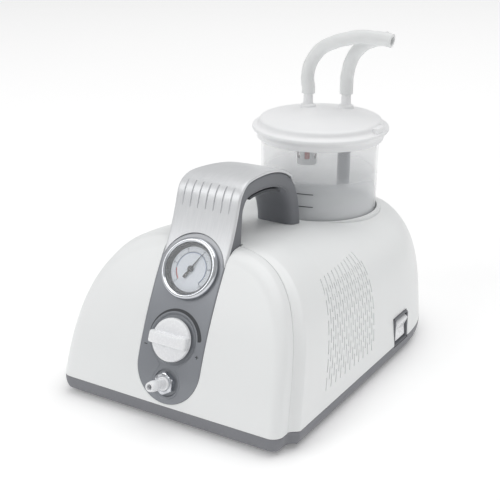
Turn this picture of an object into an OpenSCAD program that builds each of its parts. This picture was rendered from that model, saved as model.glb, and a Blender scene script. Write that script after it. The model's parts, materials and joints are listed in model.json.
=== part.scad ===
// Portable suction pump: a motor-driven vacuum pump in a leaning plastic housing, with a
// carrying handle, a vacuum gauge, a regulator knob and a lift-out collection jar.
// +Z up, the front faces -Y, the origin is on the floor in the middle of the footprint.

/* [Housing] */
// Width of the rear housing at its foot
body_w = 196; // [186:1:230]
// Length from the front parting line to the rear wall
body_l = 284; // [276:1:340]
// Height of the crown above the tray's parting line
crown_h = 106; // [100:1:130]
// Height of the flat rear top above the parting line
rear_h = 85; // [80:1:100]
// Wall of the moulded shells
wall = 2.6; // [2:0.1:3.5]
// How far the front cover stands in from the rear housing on each side
cover_inset = 6; // [3:0.5:9]
// Depth of the front cover from its face to its parting line
cover_d = 14; // [12:1:20]
// Rounding of the front cover's edge
cover_r = 8; // [5:0.5:11]
// Share of the width that the sides lose from foot to crown
side_taper = 0.08; // [0.04:0.01:0.12]

/* [Base] */
// Height of the base tray
tray_h = 11.2; // [9:0.2:16]
// Thickness of the tray's floor
floor_t = 3; // [2:0.5:4]
// Height of the rubber feet below the tray
foot_h = 3; // [2:0.5:6]
// Radius of a rubber foot
foot_r = 9; // [7:0.5:12]

/* [Front panel] */
// Half width of the control panel and of the handle's front leg
panel_w = 26; // [25:0.5:30]
// Thickness of the control panel
panel_t = 3; // [2.4:0.2:4]
// Height of the gauge's centre above the parting line
gauge_h = 90.5; // [86:0.5:94]
// Radius of the gauge's bezel
bezel_r = 22.3; // [20:0.1:23]
// Height of the regulator knob's centre above the parting line
knob_h = 45.3; // [44:0.1:48]
// Radius of the knob's disc
knob_r = 15.5; // [13:0.5:17]
// Height of the suction nozzle above the parting line
nozzle_h = 16.3; // [15:0.1:18]
// Radius of the suction nozzle's hose seat
nozzle_r = 4; // [3:0.1:5]

/* [Handle] */
// Height of the handle's top above the parting line
handle_h = 149; // [144:1:156]
// Thickness of the handle's silver skin
skin_t = 3; // [2:0.2:4]
// Where the handle's rear foot ends, behind the front parting line
handle_end = 169; // [165:0.5:171]

/* [Jar] */
// Outer radius of the jar under its lid
jar_r = 48.8; // [44:0.2:50]
// Wall of the jar
jar_wall = 2.2; // [1.8:0.1:3]
// Height of the jar from its floor to its rim
jar_h = 147; // [135:1:165]
// Radius of the lid's flange
lid_r = 55.6; // [54:0.2:57]
// Play between the jar and its well
well_gap = 1.4; // [0.8:0.1:2]
// Outer radius of the two soft tubes
tube_r = 5.5; // [4.5:0.1:6]

/* [Pump] */
// Radius of the motor's laminations
motor_r = 32; // [28:0.5:34]
// Radius of the motor shaft
shaft_r = 4; // [3:0.5:5]
// Radius of the pump's piston
piston_r = 16; // [14:0.5:17]
// Throw of the crank
throw = 3; // [2:0.1:3.4]
// Running clearance of a shaft in its bore
run = 0.05; // [0.02:0.01:0.08]

/* [Hidden] */
$fn = 64;
z_part = foot_h + tray_h;
half_w = body_w / 2;
cover_w = half_w - cover_inset;
eps = 0.02;

// The front face leans back: its distance behind the parting line, and its slope, at height h
lean_a = 0.215;
lean_b = 0.0021;
function lean(h) = lean_a * max(h, 0) + lean_b * pow(max(h, 0), 2);
function tilt(h) = atan(lean_a + 2 * lean_b * h);
function mix(a, b, t) = a + (b - a) * t;
function ramp(v, lo, hi) = min(1, max(0, (v - lo) / (hi - lo)));
function ease(t) = (1 - cos(180 * t)) / 2;

// Jar and well
jar_y = body_l - 59;
well_r = jar_r - 1.6 + well_gap;
well_wall = 1.8;
well_floor = z_part + 0.6;
well_top = z_part + rear_h + 1.2;
jar_z = well_floor + well_wall + 0.3;
jar_top = jar_z + jar_h;
jar_foot_r = jar_r - 3.2;

// Plan of the body: half width of the foot at depth s, a rounded front, a step from the cover
// to the housing, straight sides and a superelliptic rear
rear_start = body_l - 94;
rear_len = 95;
step_len = 7;
function rear_share(s) = pow(1 - pow(ramp(s, rear_start, rear_start + rear_len), 2.5), 0.4);
function foot_w(s) = s < cover_r
    ? cover_w - cover_r + sqrt(max(0, cover_r * cover_r - pow(cover_r - s, 2)))
    : mix(cover_w, half_w, ease(ramp(s, cover_d, cover_d + step_len))) * rear_share(s);

// Crown height at depth y, and the squareness of the arch
top_r = 16;
function crown(y) = mix(crown_h, rear_h, ease(ramp(y, 60, 210)))
    - top_r * (1 - sqrt(1 - pow(ramp(y, body_l - top_r, body_l + eps), 2)));
function square_n(s) = mix(3.3, 4.5, ramp(s, 60, 190));
function lean_share(s) = 1 - ramp(s, 60, 200);

// One arch of the body's loft: half width w, height h above the parting line, at depth s. It is
// a superellipse of exponent n, which narrows upwards, with its points spread by polar angle.
arch_steps = 28;
function arch(s, w, h, drop = 0) = [
    for (k = [0:arch_steps])
        let (a = 180 * k / arch_steps, n = square_n(s))
        let (r = pow(pow(abs(cos(a)), n) + pow(sin(a), n), -1 / n))
        let (t = sin(a) * r, z = t * (h + drop) - drop)
        [w * (1 - side_taper * t) * cos(a) * r, s + lean_share(s) * lean(z), z_part + z]
];

// Solid through a list of arches. Each end is closed by level strips.
module loft(rings) {
    m = arch_steps + 1;
    last = (len(rings) - 1) * m;
    half = arch_steps / 2;
    sides = [for (i = [0:len(rings) - 2], k = [0:arch_steps - 1])
        let (a = i * m + k, b = a + 1, c = a + m, d = c + 1) each [[a, c, b], [b, c, d]]];
    base = [for (i = [0:len(rings) - 2])
        let (a = i * m, b = a + arch_steps, c = a + m, d = b + m) each [[a, b, c], [b, d, c]]];
    front = [for (k = [0:half - 1])
        let (a = k, b = k + 1, c = arch_steps - k, d = c - 1)
        each (k < half - 1 ? [[a, b, c], [b, d, c]] : [[a, b, c]])];
    back = [for (f = front) [f[0] + last, f[2] + last, f[1] + last]];
    polyhedron(points = [for (r = rings) each r], convexity = 6,
        faces = [for (f = concat(sides, base, front, back)) [f[0], f[2], f[1]]]);
}

// The cover's rings: a rounded edge, then a straight return
edge_steps = 4;
module cover_block(inset, depth, drop) {
    r = cover_r - inset;
    loft(concat(
        [for (i = [0:edge_steps])
            let (a = 90 * i / edge_steps, in = r * (1 - sin(a)))
            arch(inset + r * (1 - cos(a)), cover_w - inset - in, crown_h - inset - in, drop)],
        [arch(depth, cover_w - inset, crown_h - inset, drop)]));
}

// Depths of the housing's rings
function housing_stations(first, last) = concat(
    [first, cover_d + 2, cover_d + 3.5, cover_d + 5, cover_d + step_len],
    [for (s = [36:26:rear_start]) s],
    [for (i = [0:8]) mix(rear_start, last, sin(90 * i / 8))]);
module housing_block(inset, first, last, drop) {
    loft([for (s = housing_stations(first, last))
        let (y = s + lean_share(s) * lean(crown_h))
        arch(s, foot_w(s) - inset, crown(y) - inset, drop)]);
}

// Closed skin over the body's plan, through levels of [height, inset]: up the outside and, for a
// tray, over the rim and down the inside
plan_steps = 7;
plan_depths = concat([for (i = [0:4]) cover_r * (1 - cos(90 * i / 4))],
    [for (i = [0:4]) cover_d + step_len * i / 4],
    [for (i = [0:plan_steps]) mix(rear_start, body_l, sin(90 * i / plan_steps))]);
module plan_slab(levels) {
    right = [for (s = plan_depths) [foot_w(s), s]];
    left = [for (i = [len(right) - 1:-1:0]) [-right[i][0], right[i][1]]];
    outline = concat(right, left);
    m = len(outline);
    points = [for (l = levels, p = outline)
        [p[0] * (1 - l[1] / half_w), mix(body_l / 2, p[1], 1 - 2 * l[1] / body_l), l[0]]];
    sides = [for (i = [0:len(levels) - 2], k = [0:m - 1])
        let (a = i * m + k, b = i * m + (k + 1) % m) each [[a, a + m, b], [b, a + m, b + m]]];
    polyhedron(points = points, faces = concat(sides, [[for (k = [0:m - 1]) k]],
        [[for (k = [m - 1:-1:0]) (len(levels) - 1) * m + k]]), convexity = 4);
}

// Local frame on the leaning front face at height h: X across, Y up the face, Z outwards
module on_front(h) translate([0, lean(h), z_part + h]) rotate([90 - tilt(h), 0, 0]) children();
// Cylinder from z0 to z1
module rod(r, z0, z1) translate([0, 0, z0]) cylinder(r = r, h = z1 - z0);
// Cylinder along X from x0 to x1
module rod_x(r, x0, x1) rotate([0, 90, 0]) rod(r, x0, x1);
// Ring of outer radius r and inner radius q from z0 to z1
module ring(r, q, z0, z1) difference() { rod(r, z0, z1); rod(q, z0 - 1, z1 + 1); }
// Block between two corners
module block(lo, hi) translate(lo) cube(hi - lo);
// Slab that follows the leaning front, from depth d0 to d1 behind it
module front_slab(d0, d1, h0, h1) {
    hs = [for (i = [0:12]) mix(h0, h1, i / 12)];
    rotate([90, 0, 90]) translate([0, 0, -body_w / 2]) linear_extrude(body_w)
        polygon(concat([for (h = hs) [lean(h) + d0, z_part + h]],
            [for (i = [12:-1:0]) [lean(hs[i]) + d1, z_part + hs[i]]]));
}

// Front panel: a band with a round foot, whose top is an arc around the gauge
panel_foot_h = 28;
arch_r = bezel_r + 3.5;
shoulder_v = 6;
module panel_band(grow) {
    translate([0, -20, 0]) {
        block([-panel_w - grow, 0, z_part + panel_foot_h],
            [panel_w + grow, 120, z_part + gauge_h + 40]);
        translate([0, 0, z_part + panel_foot_h]) rotate([-90, 0, 0])
            cylinder(r = panel_w + grow, h = 120);
    }
}
// What lies below the seam between the panel and the handle
module below_seam(gap) on_front(gauge_h) {
    rod(arch_r - gap, -30, 30);
    block([-60, -160, -60], [60, shoulder_v - gap, 60]);
}

module base_tray() color("#6f7275") difference() {
    union() {
        plan_slab([[foot_h, 4], [foot_h + 1.4, 2.2], [foot_h + 4.2, 0.8], [z_part, 0],
            [z_part, wall], [foot_h + floor_t + 2, wall + 0.6], [foot_h + floor_t, wall + 3]]);
        at_case_screws() rod(4.4, foot_h + floor_t - 1, z_part + 3.9);
        at_vibration_mounts() rod(8, foot_h + floor_t - 1, foot_h + floor_t + 1.5);
    }
    at_feet() rod(foot_r - 1.9, foot_h - 1, foot_h + 1);
    at_feet() rod(2, foot_h - 1, foot_h + floor_t + 1);
    at_case_screws() rod(screw_r, foot_h - 1, z_part + 5);
    at_case_screws() rod(screw_r + 1.4, foot_h - 1, foot_h + 2);
    switch_seat(0.2);
}

// Four feet near the corners
foot_x = half_w - 26;
module at_feet() for (x = [-1, 1], y = [24, body_l - 46]) translate([x * foot_x, y, 0]) children();
module rubber_feet() color("#2b2c2e") at_feet() difference() {
    union() { rod(foot_r, 0, foot_h); rod(foot_r - 2, foot_h - 1, foot_h + 1); }
    rod(4.2, -1, 1.4);
    rod(2, -1, foot_h + 2);
}
// Six screws up through the tray
screw_r = 2;
module at_case_screws() for (x = [-1, 1], y = [40, body_l / 2 + 6, body_l - 62])
    translate([x * (foot_w(y) - 8.5), y, 0]) children();
module tray_screws() color("silver") {
    at_case_screws() {
        rod(screw_r + 1.2, foot_h + 0.4, foot_h + 2);
        rod(screw_r - 0.1, foot_h + 1.9, z_part + 8);
    }
    at_feet() {
        rod(3.8, 0.2, 1.4);
        rod(screw_r - 0.1, 1.3, foot_h + floor_t + 3);
    }
}

module rear_housing() color("#e6e8ea") difference() {
    union() {
        difference() {
            housing_block(0, cover_d, body_l, 0);
            housing_block(wall, cover_d - 1, body_l - wall, 1);
        }
        at_case_screws() rod(5, z_part + 4, z_part + 30);
    }
    at_case_screws() rod(screw_r - 0.1, z_part + 3, z_part + 12);
    at_handle_screws() rod(2, -30, 9);
    translate([0, jar_y, 0]) rod(well_r + well_wall + 1.3, z_part + 40, z_part + rear_h + 20);
    on_front(gauge_h) rod(gauge_case_r + 0.3, -40, 10);
    panel_cut = handle_foot_y + 0.2;
    block([-panel_w - 0.2, 0, z_part + crown_h - 12], [panel_w + 0.2, panel_cut, z_part + 150]);
    switch_seat(0.2);
    inlet_seat(0.2);
    fuse_seat(0.2);
}

module front_cover() color("#eceeee") difference() {
    cover_block(0, cover_d, 0);
    cover_block(wall, cover_d + 1, 1);
    intersection() {
        panel_band(0.2);
        block([-60, -20, 0], [60, handle_foot_y + 0.2, z_part + 160]);
    }
    on_front(gauge_h) rod(gauge_case_r + 0.3, -40, 10);
}

// Control panel: the face, its rear flange, and the bores for what it carries
panel_proud = 0.6;
module control_panel() color("#8a8c90") difference() {
    union() {
        intersection() {
            front_slab(-panel_proud, panel_t - panel_proud, -4, gauge_h + 34);
            panel_band(0);
            below_seam(0.1);
        }
        intersection() {
            front_slab(panel_t - panel_proud - 0.1, wall + 1.8, 4, gauge_h - 13);
            panel_band(0);
        }
        intersection() {
            front_slab(wall + 0.3, wall + 1.8, 4, gauge_h - 13);
            panel_band(3);
        }
    }
    on_front(gauge_h) rod(gauge_case_r + 0.1, -30, 10);
    on_front(knob_h) rod(regulator_neck_r + 0.1, -20, 10);
    on_front(knob_h) rod(knob_r + 2.4, -0.6, 10);
    on_front(nozzle_h) rod(nozzle_neck_r + 0.1, -20, 10);
    on_front(nozzle_h) rod(9.6, -0.6, 10);
}

// Gauge
gauge_case_r = bezel_r - 2.6;
dial_r = gauge_case_r - 1.2;
gauge_depth = 16;
module gauge_case() color("#232427") on_front(gauge_h) {
    ring(gauge_case_r, dial_r + 0.1, -gauge_depth, 0.8);
    difference() {
        rod(dial_r + 0.2, -gauge_depth, -gauge_depth + 2);
        rod(4.05, -gauge_depth - 1, -gauge_depth + 3);
    }
    ring(dial_r + 0.2, dial_r - 3, -2.6, -1.4);
}
module gauge_bezel() color("silver") on_front(gauge_h) rotate_extrude() {
    translate([dial_r, 0.8]) square([bezel_r - dial_r, 2.6]);
    translate([(bezel_r + dial_r) / 2, 3.4]) circle(r = (bezel_r - dial_r) / 2);
}
module dial_ring() color("#17181a") on_front(gauge_h) difference() {
    rod(dial_r, -0.5, 3.2);
    translate([0, 0, -0.6]) cylinder(r1 = dial_r - 2.4, r2 = dial_r - 0.8, h = 4);
}
module gauge_dial() color("#dfe8f2") on_front(gauge_h) difference() {
    rod(dial_r, -1.3, -0.5);
    rod(0.7, -2, 0);
}
module gauge_lens() color([0.8, 0.88, 0.92, 0.35]) on_front(gauge_h) rod(dial_r, 3.3, 4.3);
needle_angle = -28;
module gauge_needle() color("#1b1c1e") on_front(gauge_h) rotate([0, 0, needle_angle]) {
    translate([0, 0, 0.5]) linear_extrude(0.5)
        polygon([[-1.1, -5.5], [1.1, -5.5], [0.55, 0], [0.2, dial_r - 4], [-0.2, dial_r - 4],
            [-0.55, 0]]);
    rod(1.9, 0.3, 1.3);
    rod(0.7 - run, -4, 0.4);
}
stem_len = 16;
module gauge_stem() color("#b89a55") on_front(gauge_h) {
    rod(4, -gauge_depth - 0.5, -gauge_depth + 4);
    translate([0, 0, -gauge_depth - 8]) cylinder(r = 6, h = 7.9, $fn = 6);
    rod(hose_bore, -gauge_depth - stem_len, -gauge_depth - 7.9);
}
module gauge_movement() color("#b89a55") on_front(gauge_h) {
    difference() {
        union() {
            rod(7, -4.6, -2.8);
            block([-5, -5, -gauge_depth + 4], [5, -2, -4.4]);
        }
        rod(0.72, -6, 0);
    }
}

// Regulator: body and stem behind the panel, knob in front
regulator_neck_r = 7;
regulator_depth = 22;
stem_r = 3;
module regulator_body() color("#b89a55") on_front(knob_h) difference() {
    union() {
        rod(10, -regulator_depth, -wall - 1.9);
        rod(regulator_neck_r, -wall - 2, 0.8);
    }
    rod(stem_r + run, -regulator_depth + 6, 2);
}
module regulator_stem() color("silver") on_front(knob_h) rod(stem_r, -regulator_depth + 8, 7.6);
knob_h0 = 1.2;
knob_disc_t = 3.4;
grip_len = knob_r - 0.2;
module regulator_knob() color("#ecedf0") on_front(knob_h) difference() {
    union() {
        translate([0, 0, knob_h0]) cylinder(r1 = knob_r, r2 = knob_r - 0.8, h = knob_disc_t);
        intersection() {
            block([-grip_len, -4.7, knob_h0 + 2.4], [grip_len, 4.7, knob_h0 + 12]);
            translate([0, 0, -48.6]) sphere(r = 60);
            rod(grip_len, 0, 30);
        }
    }
    rod(stem_r, -1, 7.6);
}

// Suction nozzle and its nut
nozzle_neck_r = 5;
nozzle_len = 20.4;
nozzle_tip = 3;
module suction_nozzle() color("#dfe1e4") on_front(nozzle_h) difference() {
    union() {
        rod(nozzle_neck_r, -8, 4.4);
        rod(nozzle_r, 4.3, nozzle_len - nozzle_tip);
        translate([0, 0, nozzle_len - nozzle_tip])
            cylinder(r1 = nozzle_r, r2 = nozzle_r - 0.8, h = nozzle_tip);
        rod(hose_bore, -14, -7.9);
        rod(nozzle_neck_r + 2, -8, -wall - 1.9);
    }
    rod(2, -20, nozzle_len + 5);
}
module nozzle_nut() color("silver") on_front(nozzle_h) difference() {
    translate([0, 0, -0.5]) cylinder(r = 8.2, h = 4.6, $fn = 6);
    rod(nozzle_neck_r + 0.05, -2, 6);
}

// Handle: profile in the plane of symmetry, as [depth, height above the parting line]
function bezier(a, b, c, n) = [for (i = [0:n]) let (t = i / n)
    a * (1 - t) * (1 - t) + b * 2 * t * (1 - t) + c * t * t];
handle_foot_y = 63;
rear_leg = 20;
straight_h = 100;
bend_h = handle_h - 13;
front_run = [for (h = [gauge_h - 2:4:straight_h - 1]) [lean(h), h]];
handle_outer = concat(front_run,
    bezier([lean(straight_h), straight_h], [51.4, 114], [58, bend_h], 5),
    bezier([59.2, bend_h + 3.5], [63, handle_h], [78, handle_h], 7),
    bezier([83, handle_h], [122, handle_h - 1], [146, handle_h - 15], 8),
    bezier([149, handle_h - 17], [handle_end - 4, handle_h - 27], [handle_end, rear_h + 3], 8));
module side_prism(outline) rotate([90, 0, 90]) translate([0, 0, -40]) linear_extrude(80)
    polygon([for (p = outline) [p[0], z_part + p[1]]]);
// The same curve moved inwards by d along its normal
function inward(c, d) = [for (i = [0:len(c) - 1])
    let (a = c[max(i - 1, 0)], b = c[min(i + 1, len(c) - 1)], t = (b - a) / norm(b - a))
    [c[i][0] + t[1] * d, c[i][1] - t[0] * d]];
bar_t = 13;
handle_inner = concat([[handle_foot_y, crown_h - 10], [handle_foot_y, handle_h - 25]],
    bezier([handle_foot_y, handle_h - 23], [handle_foot_y + 0.5, handle_h - bar_t - 1],
        [handle_foot_y + 13, handle_h - bar_t], 6),
    bezier([handle_foot_y + 19, handle_h - bar_t], [116, handle_h - bar_t - 1.5],
        [134, handle_h - bar_t - 13], 6),
    bezier([137, handle_h - bar_t - 15], [handle_end - rear_leg, handle_h - bar_t - 24],
        [handle_end - rear_leg, rear_h + 6], 6));
module handle_plan(shrink) translate([0, 0, z_part]) linear_extrude(handle_h + 10)
    polygon([for (s = [1, -1]) each
        [for (i = s > 0 ? [0:1:4] : [4:-1:0])
            let (y = [0, 62, 100, 140, handle_end + 4][i], w = [0, 0, 4, 8, 11.5][i])
            [s * (panel_w - shrink - w), y]]]);
// The silver skin ends at this point of the profile, and the frame fills out to the profile
skin_last = len(handle_outer) - 10;
frame_outer = concat([for (i = [0:skin_last]) inward(handle_outer, skin_t + 0.1)[i]],
    [for (i = [skin_last + 1:len(handle_outer) - 1]) handle_outer[i]]);

module handle_shell() color("#c9cccf") difference() {
    intersection() {
        side_prism(concat([for (i = [0:skin_last]) inward(handle_outer, -panel_proud)[i]],
            [for (i = [skin_last:-1:0]) inward(handle_outer, skin_t)[i]]));
        handle_plan(0);
    }
    below_seam(-0.1);
    grip_grooves();
}
// Short grooves side by side over the front bend
groove_count = 7;
module grip_grooves() for (i = [0:groove_count - 1])
    let (x = (i - (groove_count - 1) / 2) * 6.4)
    translate([x - 0.6, 61, z_part + handle_h - 6]) rotate([50, 0, 0])
        translate([0, -7, 1]) cube([1.2, 14, 6]);

module handle_frame() color("#4a4c50") difference() {
    intersection() {
        side_prism(concat(frame_outer,
            [for (i = [len(handle_inner) - 1:-1:0]) handle_inner[i]]));
        handle_plan(0);
    }
    on_front(gauge_h) rod(gauge_case_r + 0.2, -40, 30);
    intersection() {
        front_slab(-5, panel_t - panel_proud + 0.2, gauge_h - 30, gauge_h + 34);
        below_seam(-0.1);
    }
    handle_cavity();
    intersection() {
        housing_block(-0.02, cover_d, body_l, 0);
        block([-40, 100, 0], [40, handle_end + 5, z_part + crown_h]);
    }
    at_handle_screws() rod(1.9, -30, 9);
}
// Hollow of the frame, open towards the skin
module handle_cavity() intersection() {
    side_prism(concat(inward(handle_outer, skin_t - 1),
        [for (i = [len(handle_outer) - 1:-1:0]) inward(handle_outer, skin_t + 6)[i]]));
    handle_plan(4);
    block([-40, 66, z_part + rear_h], [40, 150, z_part + handle_h + 10]);
}
// Two screws up through the housing's crown into the rear foot
module at_handle_screws() let (y = handle_end - rear_leg / 2) for (x = [-7, 7])
    translate([x, y, z_part + crown(y)]) children();
module handle_screws() color("silver") at_handle_screws() {
    rod(1.8, -wall - 1.5, 8);
    rod(3.6, -wall - 3.6, -wall - 1.4);
}
// Soft lip along the finger side of the bar
module handle_grip() color("#3b3d41") difference() {
    intersection() {
        side_prism(concat([for (i = [8:14]) handle_inner[i] + [0, -0.1]],
            [for (i = [14:-1:8]) handle_inner[i] - [0, 1.9]]));
        handle_plan(1);
    }
}

// Jar well: a cup that hangs in the hole of the housing's top
module at_jar() translate([0, jar_y, 0]) children();
module jar_well() color("#e2e4e6") at_jar() difference() {
    union() {
        rod(well_r + well_wall, well_floor, well_top);
        rod(well_r + well_wall + 1.1, z_part + rear_h - 7, well_top);
    }
    rod(well_r, well_floor + well_wall, well_top + 1);
}
module jar_body() color([0.86, 0.9, 0.92, 0.4]) at_jar() rotate_extrude()
    polygon([[0, jar_z], [jar_foot_r - 4, jar_z], [jar_foot_r - 1.2, jar_z + 1.2],
        [jar_foot_r, jar_z + 4], [jar_r, jar_top], [jar_r - jar_wall, jar_top],
        [jar_foot_r - jar_wall, jar_z + 5], [jar_foot_r - jar_wall - 1.6, jar_z + jar_wall + 0.8],
        [jar_foot_r - jar_wall - 4, jar_z + jar_wall], [0, jar_z + jar_wall]]);

// Lid: a domed cap with a skirt outside the jar and two nipples
lid_z = jar_top + 0.3;
port_a = [-22, 19];
port_b = [6, 33];
nipple_r = 4;
nipple_top = lid_z + 22;
module at_port(p) at_jar() translate([p[0], p[1], 0]) children();
module jar_lid() color("#eef0f2") difference() {
    union() {
        at_jar() rotate_extrude() polygon([[0, lid_z + 9.6], [20, lid_z + 9],
            [jar_r - 7, lid_z + 6.4], [jar_r - 7, lid_z + 1], [jar_r + 0.5, lid_z + 1],
            [jar_r + 0.5, lid_z - 7], [jar_r + 3.4, lid_z - 7], [lid_r - 1.2, lid_z - 1],
            [lid_r, lid_z], [lid_r, lid_z + 2.4], [lid_r - 1.4, lid_z + 4],
            [lid_r - 5, lid_z + 4.4], [lid_r - 6, lid_z + 7.6], [lid_r - 8, lid_z + 9],
            [0, lid_z + 12]]);
        for (p = [port_a, port_b]) at_port(p) {
            rod(6, lid_z + 8, lid_z + 13);
            rod(nipple_r, lid_z - 8, nipple_top);
        }
        at_jar() block([lid_r - 8, -4, lid_z + 3], [lid_r - 2, 4, lid_z + 6.4]);
    }
    for (p = [port_a, port_b]) at_port(p) rod(2.4, lid_z - 10, nipple_top + 1);
    at_jar() ring(jar_r - jar_wall - 1.4, jar_r - jar_wall - 3.4, lid_z, lid_z + 3);
}
module lid_seal() color("#d8d4c8") at_jar() ring(jar_r - 0.2, jar_r - 3, jar_top + 0.05, lid_z + 0.95);
// Float valve under one port: a slotted cage and a ball that shuts the port off
cage_r = 8.4;
cage_h = 30;
cage_z = lid_z - 8;
cage_lip = 1.6;
module float_cage() color("#f0f1f3") at_port(port_a) difference() {
    union() {
        ring(cage_r, cage_r - 1.5, cage_z - cage_h, cage_z);
        ring(cage_r - 1, nipple_r, cage_z - cage_h, cage_z - cage_h + cage_lip);
        ring(cage_r - 1, nipple_r, cage_z - cage_lip, cage_z);
    }
    for (a = [0:60:120]) rotate([0, 0, a])
        block([-cage_r - 1, -2.2, cage_z - cage_h + 5], [cage_r + 1, 2.2, cage_z - 8]);
}
float_r = 5.4;
float_z = cage_z - cage_h + cage_lip + sqrt(float_r * float_r - nipple_r * nipple_r) + 0.3;
module float_ball() color("#c8503c") at_port(port_a) translate([0, 0, float_z]) sphere(r = float_r);
dip_len = 50;
module dip_tube() color([0.85, 0.88, 0.9, 0.6]) at_port(port_b)
    ring(nipple_r + 1.4, nipple_r + run, lid_z - 6 - dip_len, lid_z - 0.1);
module dip_cup() color("#5a5d61") at_port(port_b)
    ring(nipple_r + 4.5, nipple_r + 1.4, lid_z - 16, lid_z - 4);

// The two soft tubes on the nipples, swept along their routes
patient_route = [[-22, 0, 0], [-22, 0, 5], [-23, 0, 10], [-23, 0, 15], [-22, 0, 21], [-20, 0, 26],
    [-17, 0, 31], [-13, 0, 36], [-8, 0, 40], [-2, 0, 43], [5, 0, 46], [12, 0, 48], [19, 0, 50],
    [27, 0, 51], [35, 0, 51], [43, 0, 51], [51, 0, 50]];
vacuum_route = [[6, 0, 0], [6, 0, 5], [6, 0, 10], [6, 0, 14], [7, 0, 19], [8, 0, 24], [10, 0, 29],
    [12, 0, 33], [15, 0, 37], [18, 0, 40], [22, 0, 43], [26, 0, 45], [31, 0, 47], [36, 0, 48],
    [41, 0, 49]];
// Tube along a route: a ring of sides about each point, square to the path
function path_dir(p, i) = let (d = p[min(i + 1, len(p) - 1)] - p[max(i - 1, 0)]) d / norm(d);
module swept(p, r, up = [0, 1, 0], n = 10) {
    pts = [for (i = [0:len(p) - 1])
        let (t = path_dir(p, i), u = cross(t, up) / norm(cross(t, up)), v = cross(t, u))
        each [for (k = [0:n - 1]) p[i] + r * (cos(360 * k / n) * u + sin(360 * k / n) * v)]];
    last = (len(p) - 1) * n;
    polyhedron(points = pts, faces = concat(
        [for (i = [0:len(p) - 2], k = [0:n - 1])
            let (a = i * n + k, b = i * n + (k + 1) % n) each [[a, a + n, b], [b, a + n, b + n]]],
        [[for (k = [0:n - 1]) k]], [[for (k = [n - 1:-1:0]) last + k]]), convexity = 6);
}
module patient_tube() color("#eef0ef") translate([0, jar_y + port_a[1], nipple_top + 0.1])
    swept(patient_route, tube_r);
module vacuum_tube() color("#eef0ef") translate([0, jar_y + port_b[1], nipple_top + 0.1])
    swept(vacuum_route, tube_r);

// Mains rocker switch in the right side, inlet and fuse in the left
side_face = half_w - 0.3;
switch_y = body_l - 99.5;
switch_size = [22, 25, 24];
switch_z = z_part - 1.4 + switch_size[2] / 2;
module at_switch() translate([side_face, switch_y, switch_z]) children();
module switch_seat(gap) at_switch()
    block([-30, -switch_size[1] / 2 - gap, -switch_size[2] / 2 - gap],
        [10, switch_size[1] / 2 + gap, switch_size[2] / 2 + gap]);
rocker_r = 10;
rocker_l = 20;
rocker_x = -6.5;
rocker_pin = 1.5;
module switch_bezel() color("#5b5e62") at_switch() difference() {
    block([-switch_size[0], -switch_size[1] / 2, -switch_size[2] / 2],
        [0, switch_size[1] / 2, switch_size[2] / 2]);
    block([-20, -rocker_l / 2 - 0.4, -rocker_r - 0.4], [1, rocker_l / 2 + 0.4, rocker_r + 0.4]);
    translate([rocker_x, 0, 0]) rotate([90, 0, 0]) rod(rocker_pin + run, -12, 12);
}
rocker_swing = 8;
module switch_rocker() color("#eceded") at_switch() translate([rocker_x, 0, 0]) {
    difference() {
        rotate([90, 0, 0]) rod(rocker_r, -rocker_l / 2, rocker_l / 2);
        rotate([0, rocker_swing, 0]) {
            block([-20, -20, -20], [-4, 20, 20]);
            for (a = [0, 180]) rotate([a, 0, 0]) translate([5.5, -20, 0])
                rotate([0, rocker_swing, 0]) translate([0, 0, -2]) cube([20, 40, 30]);
        }
    }
    rotate([90, 0, 0]) rod(rocker_pin, -11.8, 11.8);
}
inlet_y = switch_y - 4;
inlet_size = [22, 31, 24];
inlet_z = z_part + 2 + inlet_size[2] / 2;
module at_inlet() translate([-side_face, inlet_y, inlet_z]) children();
module inlet_seat(gap) at_inlet()
    block([-10, -inlet_size[1] / 2 - gap, -inlet_size[2] / 2 - gap],
        [30, inlet_size[1] / 2 + gap, inlet_size[2] / 2 + gap]);
inlet_mouth = [16, 24, 16];
module power_inlet() color("#26272a") at_inlet() {
    difference() {
        block([0, -inlet_size[1] / 2, -inlet_size[2] / 2],
            [inlet_size[0], inlet_size[1] / 2, inlet_size[2] / 2]);
        block([-1, -inlet_mouth[1] / 2, -inlet_mouth[2] / 2],
            [inlet_mouth[0], inlet_mouth[1] / 2, inlet_mouth[2] / 2]);
    }
}
module inlet_pins() color("silver") at_inlet()
    for (p = [[-7, -2], [7, -2], [0, 2]]) translate([0, p[0], p[1]])
        block([6, -1, -2], [inlet_mouth[0], 1, 2]);
fuse_r = 6;
fuse_y = inlet_y + 27;
module at_fuse() translate([-side_face, fuse_y, inlet_z]) children();
module fuse_seat(gap) at_fuse() rod_x(fuse_r + 1.6 + gap, -10, 30);
module fuse_holder() color("#202124") at_fuse() difference() {
    union() { rod_x(fuse_r + 1.6, -0.6, 12); rod_x(fuse_r - 1, 11.9, 26); }
    block([-2, -4, -0.8], [0.4, 4, 0.8]);
}

// Motor and pump on a sprung plate
pump_y = 112;
plate_z = foot_h + floor_t + 10.5;
plate_t = 2;
motor_z = plate_z + plate_t + 0.2 + motor_r;
module at_vibration_mounts() for (x = [-52, 52], y = [pump_y - 26, pump_y + 26])
    translate([x, y, 0]) children();
module vibration_mounts() color("#303236") at_vibration_mounts() difference() {
    rod(7, foot_h + floor_t + 1.5, plate_z);
    rod(2, plate_z - 5, plate_z + 1);
}
module mount_plate() color("#b8bbbe") difference() {
    block([-60, pump_y - 34, plate_z], [60, pump_y + 34, plate_z + plate_t]);
    at_vibration_mounts() rod(2.2, plate_z - 1, plate_z + 5);
}
module at_motor() translate([0, pump_y, motor_z]) children();
stator_x = [-40, -10];
frame_t = 6;
coil_t = 6;
rotor_r = 18;
bearing_r = 11;
module motor_stator() color("#6d7176") at_motor() difference() {
    rod_x(motor_r, stator_x[0], stator_x[1]);
    rod_x(rotor_r + 0.6, stator_x[0] - 1, stator_x[1] + 1);
}
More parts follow.
